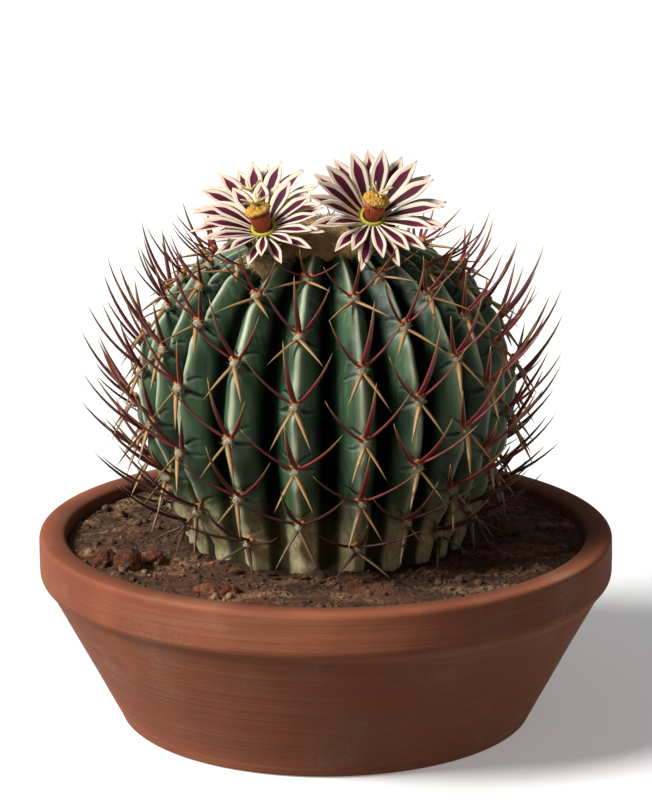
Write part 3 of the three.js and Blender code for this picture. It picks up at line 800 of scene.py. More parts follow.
@dataclass(frozen=True)
class SkinFinish:
    """Waxy green skin, corky at the soil, with a painted highlight on the rib edges, furrows of a darker
    green deepened with painted shade, and painted shade in the creases.
    """

    flank: str = "1E3B26"
    flank_light: str = "41633F"
    # Pale colour of the painted highlight on the rib edges and the crease lips, and of the pale streaks.
    edge: str = "C8D4AE"
    # Near black: the darker green of the furrows deepened with painted shade.
    furrow: str = "040A06"
    # The colour of the painted shade in the creases beside the areoles.
    crease: str = "04140A"
    cork: str = "C2B682"
    cork_light: str = "E6DCAE"
    cork_furrow_shade: str = "2E2C18"
    cork_height: float = 14.0
    strokes: tuple[tuple[float, float, float], ...] = ((2.4, 1.6, 0.5), (-0.7, -1.0, 0.66))
    stroke_start: float = 0.04
    stroke_wander: float = 2.4
    stroke_width: tuple[float, float] = (0.1, 0.62)
    lip_highlight_offset: float = 0.95

    def material(self) -> bpy.types.Material:
        """The material."""
        mix = Shading("cactus_skin")
        valley = mix.value("valley")
        fine = mix.noise(0.55, 3)
        long_streaks = mix.noise(1.3, 3, stretch=(1, 1, 9))
        body = mix.blend(mix.grade(mix.noise(13, 3), 0.35, 0.65), self.flank, self.flank_light)
        body = mix.blend(mix.grade(long_streaks, 0.45, 0.8, 0, 0.16), body, self.edge)
        # Painted highlight: near the crest, with a ragged border, the skin is blended towards the pale edge
        # colour.
        crest_highlight_reach = mix.math("ADD", valley, mix.math("MULTIPLY", mix.math("SUBTRACT", long_streaks, 0.5), 0.1))
        body = mix.blend(mix.grade(crest_highlight_reach, 0.30, 0.0, 0, 0.35), body, self.edge)
        body = mix.blend(mix.grade(crest_highlight_reach, 0.13, 0.03, 0, 0.8), body, self.edge)
        # The furrows are a darker green, deepened to near black with painted shade.
        body = mix.blend(mix.grade(valley, 0.34, 0.8, 0, 0.97), body, self.furrow)
        shade, lip_highlight = self._painted_crease_strokes(mix, valley)
        # Painted highlight on the lips under the creases, then painted shade in the creases.
        body = mix.blend(mix.math("MULTIPLY", lip_highlight, 0.12), body, self.edge)
        body = mix.blend(mix.math("MULTIPLY", shade, 0.92), body, self.crease)
        ragged = mix.math("MULTIPLY", mix.math("SUBTRACT", mix.noise(6, 3), 0.5), 9.0)
        height = mix.math("ADD", mix.value("height"), ragged)
        cork = mix.blend(mix.grade(mix.noise(1.0, 4, stretch=(1, 1, 3)), 0.35, 0.65), self.cork,
                         self.cork_light)
        # Painted shade in the furrows of the corky foot.
        cork = mix.blend(mix.grade(valley, 0.42, 0.66, 0, 0.94), cork, self.cork_furrow_shade)
        top = self.cork_height
        body = mix.blend(mix.grade(height, top + 10, top - 7), body, cork)
        relief = mix.math("ADD", fine, mix.math("MULTIPLY", long_streaks, 0.6))
        return mix.finish(body, mix.grade(long_streaks, 0.3, 0.7, 0.42, 0.56), relief, 0.05,
                          gloss=mix.grade(valley, 0.45, 0.8, 0.45, 0.0))

    def _painted_crease_strokes(self, mix: Shading, valley: Value) -> tuple[Value, Value]:
        """The painted shade in the creases beside the areoles, and the painted highlights on the lips under
        them.

        Each stroke has the height of its foot past the areole and the rise of its outer end, in millimetres,
        and the share of the flank that it crosses.

        Args:
            mix: The finish that they are drawn in.
            valley: How far a place is from the crest to the furrow, from 0 to 1.

        Returns:
            How dark the creases are and how pale the lips are, each from 0 to 1.
        """
        past = mix.value("past")
        beside = mix.value("beside")
        wobble = mix.math("SUBTRACT", mix.noise(9, 2), 0.5)
        thinnest, thickening = self.stroke_width
        shade = lip_highlight = 0.0
        for foot, rise, length in self.strokes:
            reach = mix.math("MULTIPLY_ADD", wobble, length, length)
            begun = mix.math("SUBTRACT", valley, self.stroke_start)
            share = mix.grade(mix.math("DIVIDE", begun, reach), 0.0, 1.0)
            body = mix.math("SINE", mix.math("MULTIPLY", mix.math("SQRT", share), math.pi))
            sweep = mix.math("MULTIPLY_ADD", mix.math("SINE", mix.math("MULTIPLY", share, 2.0)), rise, foot)
            middle = mix.math("MULTIPLY_ADD", wobble, self.stroke_wander, sweep)
            above = mix.math("SUBTRACT", past, middle)
            width = mix.math("MULTIPLY_ADD", body, thickening, thinnest)
            shown = mix.math("MULTIPLY", mix.grade(body, 0.02, 0.3), beside)
            # Offset 0 draws the painted shade in the crease; the lip offset draws a painted highlight just
            # below it.
            for offset in (0.0, self.lip_highlight_offset):
                off = mix.math("DIVIDE", mix.math("ABSOLUTE", mix.math("ADD", above, offset)), width)
                mark = mix.math("MULTIPLY", mix.grade(off, 1.15, 0.5), shown)
                if offset:
                    lip_highlight = mix.math("MAXIMUM", lip_highlight, mark)
                else:
                    shade = mix.math("MAXIMUM", shade, mark)
        return shade, lip_highlight


@dataclass(frozen=True)
class SpineFinish:
    """Horny spines: a row of colours from foot to tip, paler edges, painted shade on one half, and brown
    with age.
    """

    name: str
    stops: tuple[tuple[float, str], ...]
    edge: str
    edge_share: float
    shade: str
    shade_share: float
    aged: str = "33231A"

    def material(self) -> bpy.types.Material:
        """The material."""
        mix = Shading(self.name)
        along = mix.value("along")
        across = mix.value("across")
        body = mix.ramp(along, self.stops)
        outer = mix.grade(mix.math("ABSOLUTE", across), 0.55, 0.95, 0, self.edge_share)
        rim = mix.math("MULTIPLY", outer, mix.grade(along, 0.75, 0.45))
        body = mix.blend(rim, body, self.edge)
        # Painted shade: the half of each spine on one side of its keel is darkened.
        body = mix.blend(mix.grade(across, -0.1, 0.5, 0, self.shade_share), body, self.shade)
        body = mix.blend(mix.math("MULTIPLY", mix.value("tone"), 0.22), body, self.edge)
        body = mix.blend(mix.math("MULTIPLY", mix.value("age"), 0.85), body, self.aged)
        grain = mix.noise(0.5, 2)
        return mix.finish(body, mix.grade(grain, 0.3, 0.7, 0.38, 0.55), grain, 0.03)


@dataclass(frozen=True)
class WoolFinish:
    """Matted plant wool or a horny knob, in two tones that vary from hair to hair."""

    name: str
    dark: str
    light: str
    grain: float = 1.2

    def material(self) -> bpy.types.Material:
        """The material."""
        mix = Shading(self.name)
        clouds = mix.grade(mix.noise(self.grain, 3), 0.3, 0.7, 0, 0.6)
        share = mix.math("MULTIPLY_ADD", mix.value("tone"), 0.5, clouds)
        return mix.finish(mix.blend(share, self.dark, self.light), 0.92)


@dataclass(frozen=True)
class TepalFinish:
    """Silky cream tepals with a dark purple stripe that fades outwards and a thin tinted edge."""

    name: str = "tepal"
    cream: str = "FFEBD2"
    blush: str = "FADFC8"
    rim: str = "E8C2A6"
    throat: str = "A9AE4E"
    stripe: tuple[tuple[float, str], ...] = (
        (0.0, "16030A"), (0.35, "30061A"), (0.6, "560E2C"), (0.85, "721C3E"), (1.0, "82304E"))
    vein: str = "8A3A60"
    back: str = "D9C6A8"
    stripe_end: float = 0.93
    stripe_share: float = 0.46

    def material(self) -> bpy.types.Material:
        """The material."""
        mix = Shading(self.name)
        along = mix.value("along")
        across = mix.value("across")
        out = mix.math("ABSOLUTE", across)
        grid = mix.add("ShaderNodeCombineXYZ", {
            0: along, 1: mix.math("MULTIPLY", across, 7.0), 2: mix.value("tone")}).outputs[0]
        veins = mix.noise(700, 3, place=grid)
        width = mix.math("MULTIPLY", mix.grade(along, self.stripe_end, 0.62), self.stripe_share)
        width = mix.math("ADD", width, mix.math("MULTIPLY", mix.math("SUBTRACT", veins, 0.5), 0.1))
        inside = mix.grade(mix.math("SUBTRACT", width, out), -0.03, 0.03)
        body = mix.blend(mix.grade(out, 0.55, 0.75), self.blush, self.cream)
        body = mix.blend(mix.grade(out, 0.91, 0.99, 0, 0.45), body, self.rim)
        dark = mix.blend(mix.grade(veins, 0.45, 0.75, 0, 0.3), mix.ramp(along, self.stripe), self.vein)
        body = mix.blend(inside, body, dark)
        body = mix.blend(mix.grade(along, 0.07, 0.02), body, self.throat)
        body = mix.blend(mix.math("MULTIPLY", mix.value("under"), 0.5), body, self.back)
        return mix.finish(body, 0.68, veins, 0.05, gloss=0.25)


@dataclass(frozen=True)
class GradedFinish:
    """A satin flower part whose colour changes from foot to tip."""

    name: str
    stops: tuple[tuple[float, str], ...]
    light: str
    grain: float = 0.8
    roughness: float = 0.6

    def material(self) -> bpy.types.Material:
        """The material."""
        mix = Shading(self.name)
        speckle = mix.noise(self.grain, 3)
        body = mix.blend(mix.grade(speckle, 0.4, 0.75, 0, 0.5), mix.ramp(mix.value("along"), self.stops),
                         self.light)
        body = mix.blend(mix.math("MULTIPLY", mix.value("tone"), 0.35), body, self.light)
        return mix.finish(body, self.roughness, speckle, 0.04)


@dataclass(frozen=True)
class FloorFinish:
    """A plain, pale, matt floor."""

    paint: str = "FBFAF8"
    glow: float = 0.24

    def material(self) -> bpy.types.Material:
        """The material."""
        mix = Shading("floor")
        return mix.finish(linear(self.paint), 0.9, glow=self.glow)


# The studio


@dataclass
class Studio:
    """The camera at the picture's viewing angle, a pale floor and soft light from the upper left."""

    aim: Vector
    elevation: float = 14.0
    distance: float = 882.0
    lens: float = 135.0
    floor_size: float = 9000.0
    paper: str = "FFFFFF"
    paper_light: float = 0.13
    sun_from: tuple[float, float] = (-154.0, 41.0)
    sun_width: float = 20.0
    sun_light: float = 4.0

    def build(self) -> None:
        """Makes the camera, the floor and the lights."""
        self._camera()
        self._floor()
        self._sun()
        world = bpy.data.worlds.new("paper")
        world.use_nodes = True
        sky = world.node_tree.nodes["Background"]
        sky.inputs["Color"].default_value = linear(self.paper)
        sky.inputs["Strength"].default_value = self.paper_light
        scene = bpy.context.scene
        scene.world = world
        scene.view_settings.view_transform = "Standard"

    def _camera(self) -> None:
        """Makes the camera."""
        data = bpy.data.cameras.new("camera")
        data.lens = self.lens
        data.clip_end = 20.0
        camera = bpy.data.objects.new("camera", data)
        back = heading(-math.pi / 2, math.radians(self.elevation))
        camera.location = (self.aim + back * self.distance) * MM
        camera.rotation_euler = (-back).to_track_quat("-Z", "Y").to_euler()
        bpy.context.scene.collection.objects.link(camera)
        bpy.context.scene.camera = camera

    def _floor(self) -> None:
        """Makes the floor."""
        plan = MeshPlan()
        half = self.floor_size / 2
        sides = ((-1, -1), (1, -1), (1, 1), (-1, 1))
        plan.faces.append(tuple(plan.point(Vector((x * half, y * half, -0.1))) for x, y in sides))
        floor = plan.build("floor", material=FloorFinish().material())
        floor.visible_diffuse = False

    def _sun(self) -> None:
        """Makes the one wide, soft light, which falls evenly on plant and floor."""
        data = bpy.data.lights.new("key", "SUN")
        data.energy = self.sun_light
        data.angle = math.radians(self.sun_width)
        light = bpy.data.objects.new("key", data)
        around, above = (math.radians(part) for part in self.sun_from)
        light.rotation_euler = (-heading(around, above)).to_track_quat("-Z", "Y").to_euler()
        bpy.context.scene.collection.objects.link(light)


# The pan, the soil and its clods


@dataclass
class ClayPan:
    """The thrown clay pan, with a thick rim band, a foot ring and a drain hole."""

    rim_radius: float
    height: float
    rim_band: float = 15.0
    band_step: float = 2.6
    base_radius: float = 61.0
    wall: float = 5.4
    floor: float = 6.0
    foot_width: float = 9.0
    foot_height: float = 2.0
    drain_radius: float = 7.0
    corner: float = 5.0
    facets: int = 192
    throw_wave: float = 0.18
    damp_from: float = 14.0
    damp_to: float = 2.0

    def outer_radius(self, height: float) -> float:
        """The radius of the outer wall at a height, under the rim band."""
        band_foot = self.height - self.rim_band
        slope = (self.rim_radius - self.band_step - self.base_radius) / band_foot
        return self.base_radius + slope * min(height, band_foot)

    def inner_radius(self, height: float) -> float:
        """The radius of the inner wall at a height."""
        return self.outer_radius(height) - self.wall

    def build(self) -> None:
        """Makes the pan."""
        band_foot = self.height - self.rim_band
        foot_inner = self.base_radius - self.foot_width
        corners = [
            (self.drain_radius, self.foot_height, 0.8),
            (foot_inner, self.foot_height, 0.8),
            (foot_inner, 0.0, 0.5),
            (self.base_radius, 0.0, 1.2),
            *[(self.outer_radius(band_foot * share), band_foot * share, 0.0)
              for share in (0.2, 0.4, 0.6, 0.8)],
            (self.outer_radius(band_foot), band_foot, 1.2),
            (self.rim_radius, band_foot + self.band_step, 1.6),
            *[(self.rim_radius, band_foot + self.band_step + step, 0.0) for step in (3.0, 6.0, 9.0)],
            (self.rim_radius, self.height, 2.2),
            (self.inner_radius(self.height), self.height, 2.2),
            (self.inner_radius(band_foot), band_foot, 0.0),
            (self.inner_radius(self.floor + self.corner), self.floor + self.corner, 0.0),
            (self.inner_radius(self.floor) - self.corner, self.floor, 0.0),
            (self.drain_radius, self.floor, 0.8),
        ]
        outline = eased(corners)
        plan = MeshPlan()
        rings = []
        for radius, height in outline:
            inside = radius < self.rim_radius - 3
            near_rim = smooth_share(self.height - self.damp_from, self.height - self.damp_to, height)
            damp = float(near_rim * inside)
            rings.append([
                plan.point(polar(radius - self._wave(angle, height, radius), angle, height), damp=damp)
                for angle in (2 * math.pi * i / self.facets for i in range(self.facets))
            ])
        plan.skin([*rings, rings[0]])
        settle(plan.build("pan", material=ClayFinish().material()), "clay", "pot")

    def _wave(self, angle: float, height: float, radius: float) -> float:
        """How far the thrown wall lies inside a true circle, at its outer side."""
        if radius < self.base_radius - 1 or height < 1:
            return 0.0
        spot = Vector((math.cos(angle) * 1.4, math.sin(angle) * 1.4, height * 0.16))
        return self.throw_wave * (1 + noise.noise(spot))


@dataclass
class SoilBed:
    """The earth in the pan, with crumbs and chips on it, and banked up against the stem."""

    level: float
    pan: ClayPan
    stem_radius: float = 41.0
    mound: float = 1.6
    relief: float = 0.7
    clod_relief: float = 0.75
    fade: float = 8.0
    gap: float = 0.35
    bank: float = 1.5
    rings: int = 72
    sectors: int = 240
    inner: float = 33.0
    side_depth: float = 12.0
    chip_count: int = 26
    chip_arc: tuple[float, float] = (-150.0, 120.0)
    chip_band: tuple[float, float] = (2.2, 2.6)
    chip_size: tuple[float, float] = (0.7, 1.5)

    def height(self, x: float, y: float) -> float:
        """The soil's surface at a point: the low mound and gentle waves of the solid soil."""
        radius = math.hypot(x, y)
        wall = self.pan.inner_radius(self.level)
        long_wave = math.sin(x * 0.21 + 1.3) * math.cos(y * 0.17 - 0.4)
        short_wave = 0.5 * math.sin(x * 0.43 - y * 0.37)
        fade = min(1.0, (wall - radius) / self.fade)
        mound = self.mound * (1 - radius / wall)
        return self.level - self.mound / 2 + mound + self.relief * (long_wave + short_wave) * fade

    def _surface(self, x: float, y: float) -> float:
        """The surface with its small clods, and the ragged bank round the stem."""
        spot = Vector((x, y, 0))
        clods = self.clod_relief * noise.fractal(spot * 0.28, 0.8, 2.1, 4)
        radius = math.hypot(x, y)
        near = 1 - smooth_share(self.stem_radius + 0.5, self.stem_radius + 6, radius)
        bank = self.bank * near * (0.5 + noise.noise(spot * 0.33))
        wall = self.pan.inner_radius(self.level)
        edge = min(1.0, (wall - radius) / 2)
        return self.height(x, y) + clods * edge + max(0.0, bank)

    def build(self, gardener: Gardener) -> None:
        """Makes the soil, its crumbs and the rusty chips at the foot of the stem."""
        wall = self.pan.inner_radius(self.level) - self.gap
        floor = self.pan.floor + self.gap
        corner = self.pan.floor + self.pan.corner
        plan = MeshPlan()
        rings = [[plan.point(Vector((0, 0, floor)), growth=0.0, shade=1.0)]]
        for radius, height in (
            (self.pan.inner_radius(self.pan.floor) - self.pan.corner - self.gap, floor),
            (self.pan.inner_radius(corner) - self.gap - 0.1, corner),
            (wall, self.level - self.side_depth),
        ):
            rings.append([plan.point(polar(radius, 2 * math.pi * i / self.sectors, height), growth=0.0,
                                     shade=1.0) for i in range(self.sectors)])
        for row in range(self.rings + 1):
            radius = wall + (self.inner - wall) * row / self.rings
            rings.append([self._top_point(plan, radius, 2 * math.pi * i / self.sectors)
                          for i in range(self.sectors)])
        rings.append([plan.point(Vector((0, 0, self.level)), growth=0.0, shade=1.0)])
        plan.skin(rings)
        soil = plan.build("soil_bed", material=EarthFinish().material())
        settle(soil, "earth", "soil")
        self._strew(gardener, soil)
        self._chips(gardener)

    def _top_point(self, plan: MeshPlan, radius: float, angle: float) -> int:
        """Adds a point of the surface, with where crumbs lie and where the stem shades it."""
        spot = polar(radius, angle, 0)
        spot.z = self._surface(spot.x, spot.y)
        wall = self.pan.inner_radius(self.level)
        clumps = 0.55 + noise.noise(Vector((spot.x, spot.y, 9)) * 0.09)
        open_ground = self.stem_radius + 1 < radius < wall - 1.5
        # Painted shade on the soil next to the stem, where its shadow falls.
        shade = 1 - smooth_share(self.stem_radius - 1, self.stem_radius + 5, radius)
        return plan.point(spot, growth=max(0.0, clumps) if open_ground else 0.0, shade=shade)

    def _strew(self, gardener: Gardener, soil: bpy.types.Object) -> None:
        """Strews the crumbs and the larger lumps."""
        crumb = bead_shape(6, 3, 0.28, seed=3)
        finish = EarthFinish(name="earth_crumbs", deep="3A261A", brown="6B4C36", dry="B08E6C")
        small = gardener.strew("soil_crumbs", crumb, soil, finish.material(), per_cm2=15,
                               size=(0.25, 0.75), lean=90, seed=11)
        settle(small, "earth")
        lump = bead_shape(9, 5, 0.2, seed=5)
        large = gardener.strew("soil_lumps", lump, soil, finish.material(), per_cm2=1.6,
                               size=(0.8, 1.5), lean=90, seed=12)
        settle(large, "earth")

    def _chips(self, gardener: Gardener) -> None:
        """Lays rusty chips along the foot of the stem, at the front."""
        random = SeededNumbers(55)
        places = MeshPlan()
        start, sweep = self.chip_arc
        nearest, band = self.chip_band
        least, more = self.chip_size
        for i in range(self.chip_count):
            angle = math.radians(start + sweep * (i + random.next()) / self.chip_count)
            spot = polar(self.stem_radius + nearest + band * random.next(), angle, 0)
            spot.z = self._surface(spot.x, spot.y) + 0.1
            size = least + more * random.next() ** 2
            turn = Matrix.Rotation(angle + math.pi / 2 + random.vary(0.5), 3, "Z")
            add_place(places, spot, turn, Vector((size * 1.5, size, size * 0.7)), shade=0.5 * random.next())
        chips = gardener.copy("soil_chips", bead_shape(9, 5, 0.22, seed=9), places, CLOD_FINISH.material(),
                              unevenness=0.3, lump=1.5)
        settle(chips, "clod")


@dataclass
class Clods:
    """The rusty clods that lie on the soil, each a rough skin round its solid."""

    names: tuple[str, ...] = ("stone_left_outer", "stone_left_middle", "stone_left_inner", "clod_front")
    merge: float = 0.01
    levels: int = 3
    pits: float = 0.55
    outwards: float = 0.35

    def build(self) -> None:
        """Makes each clod from a merged copy of its solid."""
        material = CLOD_FINISH.material()
        for name in self.names:
            mesh = bpy.data.objects[name].data.copy()
            work = bmesh.new()
            work.from_mesh(mesh)
            bmesh.ops.remove_doubles(work, verts=work.verts, dist=self.merge * MM)
            work.to_mesh(mesh)
            work.free()
            mesh.materials.clear()
            rough = linked(name + "_solid", mesh)
            shaping = rough.modifiers.new("rounding", "SUBSURF")
            shaping.levels = shaping.render_levels = self.levels
            seen = bpy.context.evaluated_depsgraph_get()
            fine = bpy.data.meshes.new_from_object(rough.evaluated_get(seen), depsgraph=seen)
            dropped(rough)
            self._roughen(fine)
            fine.materials.append(material)
            settle(linked(name + "_rough", fine), "clod", name)

    def _roughen(self, mesh: bpy.types.Mesh) -> None:
        """Pits and ridges the surface."""
        pushes = []
        for vertex in mesh.vertices:
            spot = vertex.co / MM
            deep = noise.fractal(spot * 0.55, 0.9, 2.2, 4)
            pushes.append(vertex.normal * (deep * self.pits + self.outwards) * MM)
        for vertex, push in zip(mesh.vertices, pushes):
            vertex.co += push
        mesh.shade_smooth()


# The stem, its areoles and spines


class CrestCurve:
    """The smooth line of a rib's crest, from the root tip over the shoulder to the crown."""

    def __init__(self, line: Pairs, steps: int = 1200) -> None:
        """Samples the curve through the given pairs of radius and height."""
        knots = [Vector(pair) for pair in line]
        spans = len(knots) - 1
        self.points: list[Vector] = []
        for step in range(steps + 1):
            place = spans * step / steps
            i = min(int(place), spans - 1)
            t = place - i
            p0, p1 = knots[max(i - 1, 0)], knots[i]
            p2, p3 = knots[i + 1], knots[min(i + 2, spans)]
            v0, v1 = (p2 - p0) / 2, (p3 - p1) / 2
            self.points.append((2 * p1 - 2 * p2 + v0 + v1) * t**3 + (3 * p2 - 3 * p1 - 2 * v0 - v1) * t**2
                               + v0 * t + p1)
        self.arcs = [0.0]
        for a, b in zip(self.points, self.points[1:]):
            self.arcs.append(self.arcs[-1] + (b - a).length)

    def at(self, arc: float) -> tuple[Vector, Vector]:
        """The point at a length along the curve, and the direction into the stem there."""
        i = min(max(bisect_right(self.arcs, arc) - 1, 0), len(self.points) - 2)
        share = (arc - self.arcs[i]) / (self.arcs[i + 1] - self.arcs[i])
        tangent = (self.points[i + 1] - self.points[i]).normalized()
        return self.points[i].lerp(self.points[i + 1], share), Vector((-tangent.y, tangent.x))


class SpineKind(Enum):
    """The three kinds of spine on an areole."""

    CENTRAL = "central"
    SIDE = "side"
    LOWER = "lower"


@dataclass(frozen=True)
class Spine:
    """One spine: its kind, foot, heading round the stem and upwards in radians, and length."""

    kind: SpineKind
    foot: Vector
    way: float
    elevation: float
    length: float


@dataclass(frozen=True)
class Areole:
    """One areole: its rib, its angle in radians, its height, its arc along the crest, and its spines."""

    rib: int
    angle: float
    height: float
    arc: float
    crest: Vector
    spines: tuple[Spine, ...]


@dataclass
class StemForm:
    """The lines that the solid stem grew by, drawn again with the same random numbers.

    As in the picture, the furrows of the crown are a little shallower and the spines a little shorter.
    """

    soil: float
    crest_line: tuple[tuple[float, float], ...] = (
        (0, -30), (9, -27), (24, -16), (36, -6), (41, 0), (42.2, 5), (45.5, 12), (50.5, 25), (54.6, 38),
        (55, 47), (53.4, 57), (50.4, 65), (46.4, 72), (42, 77.5), (37, 81.8), (31, 85.3), (25, 88),
        (19.5, 89.9), (14, 90.8), (8, 90.2), (0, 89.4))
    rib_count: int = 22
    front_ribs: tuple[float, ...] = (-88, -75, -62, -49, -29, -9, 11, 28, 44.5, 57, 70, 86)
    depth_start: float = 16.0
    depth_slope: float = 0.3
    depth_by_height: tuple[tuple[float, float], ...] = (
        (-5, 1), (0, 2.6), (12, 5), (25, 8.2), (40, 10), (62, 10.2), (80, 8.8))
    areole_heights: tuple[tuple[float, ...], ...] = (
        (9.5, 24.5, 42.5, 63, 79.5), (17, 34.5, 53.5, 72, 84.3))
    areole_jitter: float = 0.8
    areole_rise: float = 1.5
    areole_tilt: float = 15.0
    lengths: tuple[float, float, float] = (26.5, 22.8, 13.5)
    side_splay: float = 52.0
    lower_splay: float = 44.0
    central_rise: tuple[tuple[float, float], ...] = (
        (8, 30), (24, 42), (43, 53), (61, 58), (72, 60), (79.5, 58), (84.3, 38))
    side_drop: float = 8.0
    length_by_height: tuple[tuple[float, float], ...] = ((56, 1), (72, 0.82), (84.3, 0.62))
    growth: tuple[float, float] = (0.93, 0.1)
    lower_fall: tuple[tuple[float, float], ...] = ((58, 52), (63, 47), (72, 29), (79.5, 18), (84.3, 4))
    tip_clearance: float = 3.0
    upper_variation: tuple[float, float, float] = (0.06, 6.0, 5.0)
    lower_variation: tuple[float, float] = (0.08, 7.0)
    shoulder_radius: float = 24.0
    seed: int = 1802

    def __post_init__(self) -> None:
        """Samples the crest and grows the areoles."""
        self.curve = CrestCurve(self.crest_line)
        outside = [(p.y, p.x, arc) for p, arc in zip(self.curve.points, self.curve.arcs)
                   if p.x >= self.shoulder_radius]
        self._radii = [(height, radius) for height, radius, _ in outside]
        self._arcs = [(height, arc) for height, _, arc in outside]
        self.ribs = self._rib_angles()
        random = SeededNumbers(self.seed)
        self.areoles = [self._areole(rib, angle, height, random) for rib, angle in enumerate(self.ribs)
                        for height in self.areole_heights[rib % 2]]

    def _rib_angles(self) -> list[float]:
        """Angles of the rib crests: the front ones as they grew, the back ones even."""
        front = self.front_ribs
        back = self.rib_count - len(front)
        arc = 360 - (front[-1] - front[0])
        degrees = [*front, *[front[-1] + arc * (i + 1) / (back + 1) for i in range(back)]]
        return [math.radians(d - 90) for d in degrees]

    def depth(self, radius: float, height: float) -> float:
        """The depth of the furrows at a place on the crest: none in mid-crown, and more outwards."""
        deepening = max(0.0, self.depth_slope * (radius - self.depth_start))
        return min(deepening, along_pairs(self.depth_by_height, height))

    def _areole(self, rib: int, angle: float, level: float, random: SeededNumbers) -> Areole:
        """Grows one areole with its five spines, in the same order of draws as the solid one."""
        height = level + random.vary(self.areole_jitter)
        crest = polar(along_pairs(self._radii, height), angle, height + self.soil)
        foot = crest + heading(angle, math.radians(self.areole_tilt)) * self.areole_rise
        rise = along_pairs(self.central_rise, height)
        least, more = self.growth
        grown = along_pairs(self.length_by_height, height) * (least + more * random.next())
        central, side, lower = self.lengths
        spines = []
        for kind, full, turn, lift in (
            (SpineKind.SIDE, side, self.side_splay, rise - self.side_drop),
            (SpineKind.CENTRAL, central, 0.0, rise),
            (SpineKind.SIDE, side, -self.side_splay, rise - self.side_drop),
        ):
            length = full * grown * (1 + random.vary(self.upper_variation[0]))
            way = angle + math.radians(turn + random.vary(self.upper_variation[1]))
            tilt = math.radians(lift + random.vary(self.upper_variation[2]))
            spines.append(Spine(kind, foot, way, tilt, length))
        for turn in (-self.lower_splay, self.lower_splay):
            length = lower * (1 + random.vary(self.lower_variation[0]))
            fall = length * math.sin(math.radians(along_pairs(self.lower_fall, height)))
            drop = min(fall, height - self.tip_clearance)
            way = angle + math.radians(turn + random.vary(self.lower_variation[1]))
            spines.append(Spine(SpineKind.LOWER, foot, way, -math.asin(drop / length), length))
        return Areole(rib, angle, height, along_pairs(self._arcs, height), crest, tuple(spines))


